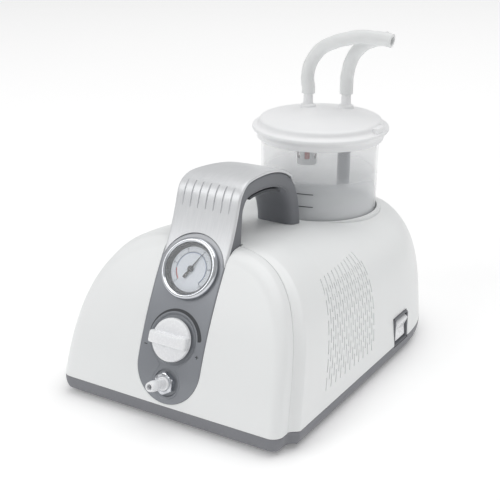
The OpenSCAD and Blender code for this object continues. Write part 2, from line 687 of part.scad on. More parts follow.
module motor_coils() color("#b5642c") at_motor() for (x = [stator_x[0] - coil_t, stator_x[1]])
    translate([x, 0, 0]) difference() {
        rod_x(motor_r - 5, 0, coil_t);
        rod_x(rotor_r + 1.4, -1, coil_t + 1);
    }
frame_x = [stator_x[0] - coil_t - frame_t, stator_x[1] + coil_t];
module motor_frames() color("#9da1a5") at_motor() for (x = frame_x) translate([x, 0, 0]) {
    difference() {
        union() {
            rod_x(motor_r - 2, 0, frame_t);
            block([0, -20, -motor_r - 0.2], [frame_t, 20, -10]);
        }
        rod_x(bearing_r, -1, frame_t + 1);
    }
}
module motor_bearings() color("silver") at_motor() for (x = frame_x) translate([x, 0, 0])
    difference() {
        rod_x(bearing_r, 0.1, frame_t - 0.1);
        rod_x(shaft_r + run, -1, frame_t + 1);
    }
module motor_rotor() color("#83878b") at_motor() difference() {
    rod_x(rotor_r, stator_x[0] - 1, stator_x[1] + 1);
    rod_x(shaft_r, stator_x[0] - 3, stator_x[1] + 3);
}
fan_x = frame_x[0] - 19;
crank_x = frame_x[1] + frame_t + 22;
web_t = 8;
module motor_shaft() color("silver") at_motor() rod_x(shaft_r, fan_x - 2, crank_x - 6.2);
module crank() color("#8a8e92") at_motor() {
    difference() {
        rod_x(14, crank_x - 6 - web_t, crank_x - 6);
        rod_x(shaft_r + 0.02, crank_x - 20, crank_x - 6);
    }
    translate([0, 0, throw]) rod_x(shaft_r, crank_x - 6.1, crank_x + 6);
}
fan_r = 29;
fan_blades = 7;
module cooling_fan() color("#dddfe0") at_motor() difference() {
    union() {
        rod_x(9, fan_x, fan_x + 12);
        for (i = [0:fan_blades - 1]) rotate([360 * i / fan_blades, 0, 0]) rotate([0, 0, 22])
            block([fan_x - 1, 7, -0.8] + [6, 0, 0], [fan_x + 9, fan_r - 2, 0.8] + [6, 0, 0]);
    }
    rod_x(shaft_r + 0.02, fan_x - 5, fan_x + 20);
}
case_half = 21;
case_x = [crank_x - 18, crank_x + 18];
case_cavity_r = 18;
module crankcase() color("#a5a9ad") at_motor() difference() {
    block([case_x[0], -case_half, -motor_r - 0.2], [case_x[1], case_half, case_half]);
    rod_x(case_cavity_r, case_x[0] + 3, case_x[1] - 3);
    rod_x(shaft_r + 1, case_x[0] - 1, case_x[0] + 5);
    translate([crank_x, 0, 0]) rod(piston_r + run, 0, case_half + 1);
}
cyl_top = case_half + 19;
module cylinder_sleeve() color("#c4c7ca") at_motor() translate([crank_x, 0, 0])
    difference() {
        union() {
            rod(piston_r + 3, case_half, cyl_top);
            for (z = [case_half + 3:4:cyl_top - 2]) rod(piston_r + 5.4, z, z + 1.4);
        }
        rod(piston_r + run, case_half - 1, cyl_top + 1);
    }
head_t = 10;
port_x = 9;
module cylinder_head() color("#aeb2b6") at_motor() translate([crank_x, 0, 0]) {
    difference() {
        block([-21, -21, cyl_top], [21, 21, cyl_top + head_t]);
        block([-17, -17, cyl_top + 3], [17, 17, cyl_top + head_t - 3]);
        for (x = [-6, 6]) translate([x, 0, 0]) rod(2.5, cyl_top - 1, cyl_top + 4);
        at_head_screws() rod(1.7, cyl_top - 1, cyl_top + head_t + 1);
        for (x = [-port_x, port_x]) translate([x, -18, cyl_top + head_t / 2])
            rotate([90, 0, 0]) rod(1.6, -3, 20);
    }
    for (x = [-port_x, port_x]) translate([x, -21, cyl_top + head_t / 2]) rotate([90, 0, 0])
        ring(hose_bore, 1.6, -0.1, 8);
}
module at_head_screws() for (x = [-1, 1], y = [-1, 1]) translate([x * 19, y * 19, 0]) children();
module pump_screws() color("silver") {
    at_motor() translate([crank_x, 0, 0]) at_head_screws() {
        rod(1.6, cyl_top + 1, cyl_top + head_t);
        rod(3, cyl_top + head_t, cyl_top + head_t + 2.4);
    }
    at_vibration_mounts() {
        rod(1.9, plate_z - 4.5, plate_z + plate_t + 0.1);
        rod(4, plate_z + plate_t, plate_z + plate_t + 2.4);
    }
}
piston_z = case_half + 12;
piston_t = 6;
big_end = 2 * throw + shaft_r + 0.5;
module piston() color("#d6d3c4") at_motor() translate([crank_x, 0, 0]) {
    rod(piston_r, piston_z - piston_t / 2, piston_z + piston_t / 2);
}
module connecting_rod() color("#9a9ea2") at_motor() translate([crank_x, 0, 0]) {
    rod_x_ring();
    block([-4, -4, big_end + 2.5], [4, 4, piston_z - piston_t / 2]);
}
module rod_x_ring() difference() {
    rod_x(big_end + 3.2, -4, 4);
    rod_x(big_end, -5, 5);
}

// Vacuum circuit: manifold behind the regulator, joined by hoses
hose_bore = 2.5;
hose_r = 3.6;
manifold_t = 12;
manifold_w = 10;
nipple_len = 8;
module vacuum_manifold() color("#3a3c40") on_front(knob_h)
    translate([0, 0, -regulator_depth - manifold_t]) {
        block([-manifold_w, -11, 0], [manifold_w, 11, manifold_t]);
        for (s = [-1, 1]) translate([s * manifold_w, 0, manifold_t / 2]) rotate([0, s * 90, 0])
            rod(hose_bore, -0.1, nipple_len);
        rod(hose_bore, -nipple_len, 0.1);
    }
// End points of the hoses: a nipple's tip, at depth d behind the front at height h
function behind(h, d, x = 0) = [x, lean(h) + d * cos(tilt(h)), z_part + h - d * sin(tilt(h))];
module inlet_hose() color("#d9dcdc") swept([behind(nozzle_h, 14.1), behind(nozzle_h, 20),
    [6, 30, 24], [16, 36, 25], [26, 39, 31], [32, 40, 39], [31, 40, 46],
    behind(knob_h, regulator_depth + manifold_t / 2, 26),
    behind(knob_h, regulator_depth + manifold_t / 2, manifold_w + nipple_len + 0.1)], hose_r,
    [0.3, 0.2, 1], 8);
module gauge_hose() color("#d9dcdc") swept([behind(gauge_h, gauge_depth + stem_len + 0.1),
    behind(gauge_h, gauge_depth + stem_len + 6), [-5, 73, 79], [-13, 73, 71], [-22, 66, 62],
    [-29, 56, 54], [-30, 46, 50], behind(knob_h, regulator_depth + manifold_t / 2, -26),
    behind(knob_h, regulator_depth + manifold_t / 2, -manifold_w - nipple_len - 0.1)], hose_r,
    [1, 0.3, 0.4], 8);
head_z = motor_z + cyl_top + head_t / 2;
module suction_hose() color("#d9dcdc") swept([
    behind(knob_h, regulator_depth + manifold_t + nipple_len + 0.1),
    behind(knob_h, regulator_depth + manifold_t + nipple_len + 6), [4, 66, 43], [10, 69, 48],
    [14, 71, 57], [15, 71, 68], [15, 71, 79], [15, 71.5, 87], [crank_x - port_x, 73, head_z - 3],
    [crank_x - port_x, 78, head_z], [crank_x - port_x, pump_y - 29.1, head_z]], hose_r,
    [1, -0.5, 0.2], 8);

// Silencer on the outlet, and the motor's capacitor
module exhaust_silencer() color("#cfd2d4") translate([crank_x + port_x, pump_y - 29.1, head_z])
    rotate([90, 0, 0]) difference() {
        union() { rod(hose_r + 1, -4, 4.1); rod(7, 4, 16); }
        rod(hose_bore, -5, 3.9);
    }
module run_capacitor() color("#c9cdd1") translate([-40, 160, 0])
    rod(13, foot_h + floor_t, foot_h + floor_t + 48);

// The footprint runs from the nozzle's tip to the rear wall
nozzle_tip_y = lean(nozzle_h) - nozzle_len * cos(tilt(nozzle_h))
    - (nozzle_r - 0.8) * sin(tilt(nozzle_h));
module seat() translate([0, -(nozzle_tip_y + body_l) / 2, 0]) children();

seat() base_tray();
seat() rubber_feet();
seat() tray_screws();
seat() rear_housing();
seat() front_cover();
seat() control_panel();
seat() gauge_case();
seat() gauge_bezel();
seat() dial_ring();
seat() gauge_dial();
seat() gauge_lens();
seat() gauge_needle();
seat() gauge_stem();
seat() gauge_movement();
seat() regulator_body();
seat() regulator_stem();
seat() regulator_knob();
seat() suction_nozzle();
seat() nozzle_nut();
seat() handle_shell();
seat() handle_frame();
seat() handle_grip();
seat() handle_screws();
seat() jar_well();
seat() jar_body();
seat() jar_lid();
seat() lid_seal();
seat() float_cage();
seat() float_ball();
seat() dip_tube();
seat() dip_cup();
seat() patient_tube();
seat() vacuum_tube();
seat() switch_bezel();
seat() switch_rocker();
seat() power_inlet();
seat() inlet_pins();
seat() fuse_holder();
seat() vibration_mounts();
seat() mount_plate();
seat() motor_stator();
seat() motor_coils();
seat() motor_frames();
seat() motor_bearings();
seat() motor_rotor();
seat() motor_shaft();
seat() crank();
seat() cooling_fan();
seat() crankcase();
seat() cylinder_sleeve();
seat() cylinder_head();
seat() pump_screws();
seat() piston();
seat() connecting_rod();
seat() vacuum_manifold();
seat() inlet_hose();
seat() gauge_hose();
seat() suction_hose();
seat() exhaust_silencer();
seat() run_capacitor();
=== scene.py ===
import json

import bmesh
import bpy
import numpy as np
from mathutils import Matrix, Quaternion, Vector


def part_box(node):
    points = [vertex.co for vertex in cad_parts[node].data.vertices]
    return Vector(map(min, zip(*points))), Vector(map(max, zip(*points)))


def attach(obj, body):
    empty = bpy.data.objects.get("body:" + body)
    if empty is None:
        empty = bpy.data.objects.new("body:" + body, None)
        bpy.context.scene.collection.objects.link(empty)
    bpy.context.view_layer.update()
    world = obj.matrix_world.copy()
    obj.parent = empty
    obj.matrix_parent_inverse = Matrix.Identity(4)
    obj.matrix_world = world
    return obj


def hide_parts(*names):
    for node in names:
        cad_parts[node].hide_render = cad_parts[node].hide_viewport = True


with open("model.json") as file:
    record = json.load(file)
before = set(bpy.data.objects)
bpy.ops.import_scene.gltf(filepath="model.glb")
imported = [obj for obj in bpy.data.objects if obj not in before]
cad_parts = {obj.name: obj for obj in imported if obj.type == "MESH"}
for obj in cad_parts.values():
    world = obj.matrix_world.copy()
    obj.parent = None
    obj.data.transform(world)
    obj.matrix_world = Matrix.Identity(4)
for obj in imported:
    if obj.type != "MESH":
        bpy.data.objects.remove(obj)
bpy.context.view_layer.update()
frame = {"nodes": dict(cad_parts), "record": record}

# --- Camera -----------------------------------------------------------------------------------
# A long lens a little above the bench, to the right of the pump's front.
eye = Vector((0.39919, -0.67832, 0.38995))
aim = Vector((0.00953, -0.03378, 0.10015))
lens = bpy.data.cameras.new("camera")
lens.lens, lens.sensor_width = 78.78, 36
camera = bpy.data.objects.new("camera", lens)
bpy.context.scene.collection.objects.link(camera)
camera.location = eye
camera.rotation_mode = "QUATERNION"
camera.rotation_quaternion = (aim - eye).to_track_quat("-Z", "Y") @ Quaternion((0, 0, 1), 0.00646)
bpy.context.scene.camera = camera


# --- Patient and vacuum tubes -----------------------------------------------------------------
# Two short soft silicone tubes, cut square and pushed onto the lid's nipples. Each is swept
# along its route with a real wall, and ends bare, as the real ones do.
def add(name, mesh, smooth, material):
    """Object for a finished mesh in one material, shaded smooth except where its faces turn by
    more than smooth degrees."""
    mesh.polygons.foreach_set("use_smooth", np.ones(len(mesh.polygons), bool))
    mesh.set_sharp_from_angle(angle=np.radians(smooth))
    mesh.materials.append(material)
    piece = bpy.data.objects.new(name, mesh)
    bpy.context.scene.collection.objects.link(piece)
    return piece


def grid_mesh(name, points, around=False, keep=None, closed=True):
    """Quads over a grid of points in millimetres, rows by columns; around joins the last
    column to the first. keep is a mask of the faces that stay. Poles and seams are merged, and
    faces turned outwards."""
    rows, cols = points.shape[:2]
    i, j = np.meshgrid(np.arange(rows - 1), np.arange(cols if around else cols - 1), indexing="ij")
    k = (j + 1) % cols
    quads = np.stack([i * cols + j, i * cols + k, (i + 1) * cols + k, (i + 1) * cols + j], -1)
    quads = quads[keep] if keep is not None else quads.reshape(-1, 4)
    mesh = bpy.data.meshes.new(name)
    mesh.from_pydata(points.reshape(-1, 3) * 0.001, [], quads)
    work = bmesh.new()
    work.from_mesh(mesh)
    bmesh.ops.remove_doubles(work, verts=work.verts, dist=2e-6)
    bmesh.ops.dissolve_degenerate(work, edges=work.edges, dist=1e-7)
    if closed:
        bmesh.ops.recalc_face_normals(work, faces=work.faces)
    bmesh.ops.delete(work, geom=[v for v in work.verts if not v.link_faces], context="VERTS")
    work.to_mesh(mesh)
    work.free()
    return mesh


def unit(v):
    return v / np.linalg.norm(v, axis=-1, keepdims=True)


def through(points, per=8):
    """Catmull-Rom curve through points: each span is the cubic whose end slopes are half the
    chord between its neighbours."""
    p = np.asarray(points, float)
    p = np.vstack([2 * p[0] - p[1], p, 2 * p[-1] - p[-2]])
    t = np.linspace(0, 1, per, endpoint=False)[None, :, None]
    a, b, c, d = p[:-3, None], p[1:-2, None], p[2:-1, None], p[3:, None]
    curve = 0.5 * (2 * b + (c - a) * t + (2 * a - 5 * b + 4 * c - d) * t**2
                   + (3 * b - a - 3 * c + d) * t**3)
    return np.vstack([curve.reshape(-1, p.shape[1]), p[-2]])


def swept_tube(path, radius, bore, sides=32):
    """Tube along a path in one plane: circles square to the path, first outside to the far end
    and then back along the bore, with a small round at each cut end."""
    t = unit(np.gradient(path, axis=0))
    side = unit(np.cross(t, [0, 1, 0]))
    up = np.cross(t, side)
    a = np.linspace(0, 2 * np.pi, sides, endpoint=False)
    ring = np.cos(a)[None, :, None] * side[:, None] + np.sin(a)[None, :, None] * up[:, None]
    first, last = path[0] + 0.15 * t[0], path[-1] - 0.15 * t[-1]
    outside = np.concatenate([path[:1] + (radius - 0.3) * ring[:1], first + radius * ring[:1],
                              path[1:-1, None] + radius * ring[1:-1], last + radius * ring[-1:],
                              path[-1:] + (radius - 0.3) * ring[-1:]])
    inside = path[::-1, None] + bore * ring[::-1]
    return np.concatenate([outside, inside, outside[:1]])


class Shade:
    """A shader socket on which +, * and a number less it add Math nodes."""

    def __init__(self, tree, socket=None):
        self.tree, self.socket = tree, socket

    def make(self, kind, settings=None, sockets=None, out=0):
        """Adds a node of this kind: its settings, then the value or link of each socket."""
        node = self.tree.nodes.new("ShaderNode" + kind)
        for key, value in (settings or {}).items():
            setattr(node, key, value)
        for key, value in (sockets or {}).items():
            if isinstance(value, Shade):
                self.tree.links.new(value.socket, node.inputs[key])
            else:
                node.inputs[key].default_value = value
        return Shade(self.tree, node.outputs[out])

    def math(self, operation, a, b=0.0):
        return self.make("Math", {"operation": operation}, {0: a, 1: b})

    def __add__(self, other):
        return self.math("ADD", self, other)

    def __rsub__(self, other):
        return self.math("SUBTRACT", other, self)

    def __mul__(self, other):
        return self.math("MULTIPLY", self, other)

    def mix(self, low, high):
        """Colour low where this is 0 and high where it is 1."""
        return self.make("Mix", {"data_type": "RGBA"}, {0: self, 6: low, 7: high}, out=2)

    def clamp(self, low, high):
        """0 below low and 1 above high, with a straight run between."""
        return self.make("MapRange", {}, {0: self, 1: low, 2: high, 3: 0.0, 4: 1.0})

    def noise(self, place, scale, detail=3.0):
        return self.make("TexNoise", {}, {"Vector": place, "Scale": scale, "Detail": detail})

    def stretch(self, place, by):
        """The place with each axis multiplied, which draws a pattern out along the others."""
        return self.make("Mapping", {}, {"Vector": place, "Scale": by})


def rgb(r, g, b):
    """Linear colour from the 0-255 numbers of a colour chart."""
    c = np.array([r, g, b]) / 255
    return (*np.where(c < 0.04045, c / 12.92, ((c + 0.055) / 1.055) ** 2.4), 1.0)


def finish(name, recipe, height=None, relief=0.3, depth=0.0002, **fixed):
    """Material whose recipe, given a Shade and the Object coordinates, returns Principled values;
    height, given the same, is the bump."""
    material = bpy.data.materials.new(name)
    material.use_nodes = True
    tree = material.node_tree
    tree.nodes.clear()
    s = Shade(tree)
    place = s.make("TexCoord", out="Object")
    values = {**fixed, **recipe(s, place)}
    if height:
        values["Normal"] = s.make("Bump", {}, {"Height": height(s, place), "Strength": relief,
                                               "Distance": depth})
    shader = s.make("BsdfPrincipled", {}, values)
    output = tree.nodes.new("ShaderNodeOutputMaterial")
    tree.links.new(shader.socket, output.inputs["Surface"])
    return material


def silicone_look(s, place):
    cloud = s.noise(place, 90.0)
    return {"Base Color": cloud.mix(rgb(238, 240, 240), rgb(247, 248, 248)),
            "Roughness": cloud * 0.12 + 0.34}


silicone = finish("silicone", silicone_look, lambda s, place: s.noise(place, 900.0), 0.12,
                  **{"Alpha": 0.86, "IOR": 1.41})

tube_r, tube_bore, jar_y, tube_z = 5.5, 3.4, 91.218, 186.3
routes = {
    "patient_tube": (19, [
        [-22, 0], [-22, 5], [-23, 10], [-23, 15], [-22, 21], [-20, 26], [-17, 31], [-13, 36],
        [-8, 40], [-2, 43], [5, 46], [12, 48], [19, 50], [27, 51], [35, 51], [43, 51], [51, 50]]),
    "vacuum_tube": (33, [
        [6, 0], [6, 5], [6, 10], [6, 14], [7, 19], [8, 24], [10, 29], [12, 33], [15, 37],
        [18, 40], [22, 43], [26, 45], [31, 47], [36, 48], [41, 49]])}
for node, (port_y, route) in routes.items():
    route = np.array(route, float)
    path = through(np.stack([route[:, 0], np.full(len(route), jar_y + port_y),
                             tube_z + route[:, 1]], 1))
    tube = add(node.replace("tube", "hose"), grid_mesh(node, swept_tube(path, tube_r, tube_bore),
                                                       around=True), 50, silicone)
    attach(tube, "lid")
    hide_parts(node)

# --- Rear housing -----------------------------------------------------------------------------
# One white ABS moulding: an arch that leans at the front and narrows to a round rear. Rows of
# staggered vent slots are moulded through both flanks, and the jar's well opens in its crown.
foot_z, front_y, half_w, cover_w, crown_h, rear_h = 14.2, -133.782, 98.0, 92.0, 106.0, 85.0


def ramp(v, low, high):
    return np.clip((v - low) / (high - low), 0, 1)


def ease(t):
    return (1 - np.cos(np.pi * t)) / 2


def lean(h):
    return 0.215 * h + 0.0021 * h * h


def lean_share(s):
    return 1 - ramp(s, 60, 200)


def foot_w(s):
    """Half width at depth s: a quarter round, the step from cover to housing, straight flanks and
    a superellipse at the rear."""
    nose = cover_w - 8 + np.sqrt(np.maximum(64 - (8 - np.minimum(s, 8)) ** 2, 0))
    flank = cover_w + (half_w - cover_w) * ease(ramp(s, 14, 21))
    return np.where(s < 8, nose, flank * (1 - ramp(s, 190, 285) ** 2.5) ** 0.4)


def crown(y):
    """Height of the crown at depth y: an eased fall to the jar, and a quarter round at the end."""
    return (crown_h + (rear_h - crown_h) * ease(ramp(y, 60, 210))
            - 16 * (1 - np.sqrt(1 - ramp(y, 268, 284.02) ** 2)))


def squareness(s):
    return 3.3 + 1.2 * ramp(s, 60, 190)


def arch(s, angle, w, h):
    """Superellipse arch of half width w and height h at depth s, by polar angle, narrowing
    upwards by 8%."""
    n = squareness(s)
    reach = (np.abs(np.cos(angle)) ** n + np.abs(np.sin(angle)) ** n) ** (-1 / n)
    t = np.sin(angle) * reach
    return w * (1 - 0.08 * t) * np.cos(angle) * reach, t * h


def shell_skin(u, rows):
    """Housing skin. Each column starts at depth u and leans as the front does. Rows are heights up
    the flanks, then polar angles over the crown; a fixed point gives each one its depth."""
    low = np.minimum(82, 0.93 * crown(u))[:, None] * (rows / 82.0)[None]
    s, bend = np.repeat(u[:, None], len(rows), 1), lean_share(u)[:, None]
    for _ in range(14):
        h = crown(s + lean_share(s) * lean(crown_h))
        y = u[:, None] + bend * lean(low)
        s = np.minimum(y - lean_share(s) * lean(low), 284)
    n, t = squareness(s), np.clip(low / h, 0, 1)
    flank = np.stack([foot_w(s) * (1 - 0.08 * t) * (1 - t**n) ** (1 / n), y, low], -1)
    start = np.arctan2(t[:, -1], (1 - t[:, -1] ** n[:, -1]) ** (1 / n[:, -1]))
    turn = np.linspace(0, 1, 91)[None, 1:-1]
    angle = start[:, None] + (np.pi - 2 * start[:, None]) * turn
    s = np.repeat(s[:, -1:], angle.shape[1], 1)
    for _ in range(14):
        h = crown(s + lean_share(s) * lean(crown_h))
        x, z = arch(s, angle, foot_w(s), h)
        y = u[:, None] + bend * lean(z)
        s = np.minimum(y - lean_share(s) * lean(z), 284)
    top = np.stack([x, y, z], -1)
    return np.concatenate([flank, top, flank[:, ::-1] * [-1, 1, 1]], 1)


def in_model(points):
    """From depth behind the parting line and height above the tray to the frame's axes."""
    return points + [0, front_y, foot_z]


def rounded(name, points, wall, keep=None):
    """Open skin given a wall inwards by the Solidify modifier, which is then applied."""
    mesh = grid_mesh(name, points, keep=keep, closed=False)
    middle = points.reshape(-1, 3).mean(0) * 0.001
    work = bmesh.new()
    work.from_mesh(mesh)
    work.normal_update()
    if sum((f.calc_center_median() - Vector(middle)).dot(f.normal) for f in work.faces) < 0:
        bmesh.ops.reverse_faces(work, faces=work.faces)
    work.to_mesh(mesh)
    work.free()
    piece = bpy.data.objects.new(name, mesh)
    bpy.context.scene.collection.objects.link(piece)
    thick = piece.modifiers.new("wall", "SOLIDIFY")
    thick.thickness, thick.offset, thick.use_rim = wall * 0.001, -1, True
    return settle(piece)


def settle(piece):
    """Applies the modifiers of a piece."""
    bpy.context.view_layer.update()
    seen = piece.evaluated_get(bpy.context.evaluated_depsgraph_get())
    mesh = bpy.data.meshes.new_from_object(seen)
    name = piece.name
    bpy.data.objects.remove(piece)
    mesh.name = name
    return mesh


def carve(mesh, cutter, how="DIFFERENCE"):
    """Boolean of two closed meshes. The manifold solver comes first, and the exact one takes
    over where it leaves nothing or changes nothing."""
    for solver in ("MANIFOLD", "EXACT"):
        piece, tool = (bpy.data.objects.new(m.name, m) for m in (mesh, cutter))
        for o in (piece, tool):
            bpy.context.scene.collection.objects.link(o)
        cut = piece.modifiers.new("cut", "BOOLEAN")
        cut.object, cut.operation, cut.solver = tool, how, solver
        result = settle(piece)
        bpy.data.objects.remove(tool)
        if len(result.vertices) > 0 and len(result.vertices) != len(mesh.vertices):
            break
    result.materials.clear()
    return result


def capped(rings):
    """Closes both ends of a stack of rings with a row drawn in to the end ring's middle."""
    tips = [np.repeat(rings[k].mean(0)[None, None], rings.shape[1], 1) for k in (0, -1)]
    return np.concatenate([tips[0], rings, tips[1]])


def prism(outline, low, high, across="xz"):
    """Solid over a flat outline in millimetres, from low to high along the third axis."""
    outline = np.asarray(outline, float)
    order = {"xz": [0, 2, 1], "xy": [0, 1, 2]}[across]
    ends = np.stack([np.insert(outline, 2, z, axis=1)[:, order] for z in (low, high)])
    return grid_mesh("tool", capped(ends), around=True)


def box_tool(low, high):
    """Solid box between two corners."""
    (x0, y0, z0), (x1, y1, z1) = low, high
    return prism([[x0, y0], [x1, y0], [x1, y1], [x0, y1]], z0, z1, "xy")


def circle(r, at=(0, 0), steps=96, start=0.0, end=2 * np.pi):
    """Points round a whole circle, or along an arc with both of its ends."""
    a = np.linspace(start, end, steps, endpoint=end - start < 6.28)
    return np.stack([at[0] + r * np.cos(a), at[1] + r * np.sin(a)], 1)


def joined(*meshes):
    """One mesh of several separate closed ones."""
    work = bmesh.new()
    for m in meshes:
        work.from_mesh(m)
    mesh = bpy.data.meshes.new(meshes[0].name)
    work.to_mesh(mesh)
    work.free()
    return mesh


def node_tool(node, gap):
    """Box around a CAD node, grown by a gap: the window it sits in."""
    low, high = (np.array(c) * 1000 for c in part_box(node))
    return low - gap, high + gap


vent_step, vent_first, vent_rows, vent_cols = 0.625, 55.0, 11, 11
columns = np.concatenate([
    [14.0, 14.05, 14.2, 14.5], np.linspace(15, 21.5, 11), np.linspace(23, 50, 10),
    52.5 + vent_step * np.arange(145), np.linspace(146, 189, 16),
    190 + 94 * np.sin(np.linspace(0, np.pi / 2, 42))])
rows = np.concatenate([[0.25, 0.5], np.arange(1, 83, 1.0)])
skin = shell_skin(columns, rows)
lip = np.array([0.6, 0.35, 0.12, 0.0])
skin[:4] *= np.stack([1 - lip / 95, np.ones(4), 1 - lip / 100], 1)[:, None]
last = skin[-1:]
skin = np.concatenate([skin, *[last * [f, 1, f] for f in (0.985, 0.93, 0.8, 0.55, 0.28, 0.0)]])
mid_u, mid_h = (columns[1:] + columns[:-1]) / 2, (rows[1:] + rows[:-1]) / 2
slot_row = np.arange(vent_rows)[:, None, None, None]
slot_col = np.arange(vent_cols)[None, :, None, None]
open_slot = ((np.abs(mid_u[:, None] - vent_first - 7.5 * slot_col - 3.75 * (slot_row % 2)) < 0.626)
             & (np.abs(mid_h[None] - 17.5 - 6 * slot_row) < 4.5)).any((0, 1))
keep = np.ones((skin.shape[0] - 1, skin.shape[1] - 1), bool)
keep[: len(mid_u), : len(mid_h)] = ~open_slot
keep[: len(mid_u), -len(mid_h):] = ~open_slot[:, ::-1]
well_at = (0.0, jar_y)
cutters = [prism(circle(51.7, well_at, 128), foot_z + 40, foot_z + 110, "xy"),
           box_tool([-26.2, -136, foot_z + 94], [26.2, front_y + 63.2, foot_z + 150])]
window_gap = 0.2
for node in ("switch_bezel", "power_inlet", "fuse_holder"):
    low, high = node_tool(node, window_gap)
    low[0], high[0] = (low[0] - 4, high[0] + 8) if low[0] > 0 else (low[0] - 8, high[0] + 4)
    cutters.append(box_tool(low, high))
shell_wall = 2.6
housing_mesh = rounded("housing", in_model(skin), shell_wall, keep)
for cutter in cutters:
    housing_mesh = carve(housing_mesh, cutter)


def shell_look(s, place):
    """Gloss white ABS: faint yellowing in broad clouds, flow marks, and a satin that varies."""
    cloud = s.noise(place, 14.0, 2.0)
    grain = s.noise(place, 420.0)
    return {"Base Color": (cloud * 0.8 + grain * 0.2).mix(rgb(238, 240, 240), rgb(245, 246, 246)),
            "Roughness": grain * 0.1 + cloud * 0.08 + 0.3}


shell_white = finish("shell_white", shell_look, lambda s, place: s.noise(place, 1400.0), 0.06,
                     0.0001, **{"Coat Weight": 0.12, "Coat Roughness": 0.2})
housing = add("shell_rear", housing_mesh, 30, shell_white)
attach(housing, "housing")
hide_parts("rear_housing")

# Painted light: a pale sheet just inside each vent field fills the slots with light, where they
# would be in shade.
lit_sheet_u, lit_sheet_h = np.linspace(50, 139, 40), np.linspace(10, 84, 34)
lit_sheet = shell_skin(lit_sheet_u, np.minimum(lit_sheet_h, 82.0))[:, :34]
sheets = [np.stack([flank * (lit_sheet[..., 0] - 1.5), lit_sheet[..., 1], lit_sheet[..., 2]], -1)
          for flank in (1, -1)]
lit_sheet_mesh = joined(*(rounded("lit_sheet", in_model(sheet), 0.8) for sheet in sheets))
# Pale colour of the sheet seen through the slots: painted light.
slot_light_finish = finish("painted_slot_light", lambda s, place: {
    "Base Color": s.noise(place, 2600.0, 1.0).mix(rgb(222, 224, 226), rgb(238, 240, 241)),
    "Roughness": s.noise(place, 900.0) * 0.1 + 0.8}, lambda s, place: s.noise(place, 2600.0), 0.3)
slot_light_sheet = add("vent_painted_light", lit_sheet_mesh, 60, slot_light_finish)
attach(slot_light_sheet, "housing")

# --- Front cover ------------------------------------------------------------------------------
# White ABS moulding that closes the front, with an 8 mm round all along its edge. A slot down
# its middle takes the control panel.
edge_r, cover_d = 8.0, 14.0
turn = np.linspace(0, np.pi / 2, 14)
cover_s = np.concatenate([[cover_d - 0.3, cover_d - 0.7], np.linspace(12, edge_r, 4)[:-1],
                          edge_r * (1 - np.sin(turn))])
cover_in = np.concatenate([[0.5, 0.0], np.zeros(3), edge_r * (1 - np.cos(turn))])
angle = np.linspace(0, np.pi, 181)[None]
x, z = arch(cover_s[:, None], angle, cover_w - cover_in[:, None], crown_h - cover_in[:, None])
z = np.maximum(z, 0.25)
rim = np.stack([x, cover_s[:, None] + lean(z), z], -1)
face = [np.stack([rim[-1, :, 0] * f, lean(rim[-1, :, 2] * f), rim[-1, :, 2] * f], -1)[None]
        for f in np.concatenate([np.linspace(0.985, 0.1, 30), [0.0]])]
cover_mesh = rounded("cover", in_model(np.concatenate([rim, *face])), shell_wall)


def band(w, low=28.0, top=130.0):
    """Outline of the panel's slot: straight sides and a half-round foot."""
    return np.vstack([[[w, top]], [[-w, top]], circle(w, (0, low), 64, np.pi, 2 * np.pi)])


def tilt_at(h):
    """Angle of the leaning face at height h: the slope of lean."""
    return np.arctan(0.215 + 0.0042 * h)


def front_frame(h):
    """The local frame on the leaning face at height h: X across, Y up the face, Z outwards."""
    tilt = tilt_at(h)
    axes = np.array([[1, 0, 0], [0, np.sin(tilt), np.cos(tilt)], [0, -np.cos(tilt), np.sin(tilt)]])
    return axes, np.array([0, lean(h) + front_y, foot_z + h])


def placed(mesh, h):
    """Moves a mesh made about the origin onto the face at height h."""
    axes, origin = front_frame(h)
    place = Matrix(axes.T.tolist()).to_4x4()
    place.translation = Vector(origin * 0.001)
    mesh.transform(place)
    return mesh


gauge_h, knob_h, nozzle_h = 90.5, 45.3, 16.3
cover_mesh = carve(cover_mesh, prism(band(26.2) + [0, foot_z], front_y - 20, front_y + 63.2))
cover = add("shell_front", cover_mesh, 30, shell_white)
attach(cover, "housing")
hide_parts("front_cover")

# --- Base tray --------------------------------------------------------------------------------
# Dark grey ABS tray under both shells, with a fine spark texture and a soft bottom edge. Screws
# go up through it at six places.
def plan_ring(inset):
    """The body's plan, half width against depth, mirrored and drawn in by an inset."""
    s = np.concatenate([8 * (1 - np.cos(np.linspace(0, np.pi / 2, 12))), np.linspace(9, 13, 3),
                        np.linspace(14, 21, 12), np.linspace(26, 188, 28),
                        190 + 94 * np.sin(np.linspace(0, np.pi / 2, 44))])
    right = np.stack([foot_w(s), s], 1)
    ring = np.vstack([right, right[::-1] * [-1, 1]])
    edge = np.roll(ring, -1, 0) - np.roll(ring, 1, 0)
    out = np.stack([edge[:, 1], -edge[:, 0]], 1) / np.linalg.norm(edge, axis=1, keepdims=True)
    return ring - inset * out


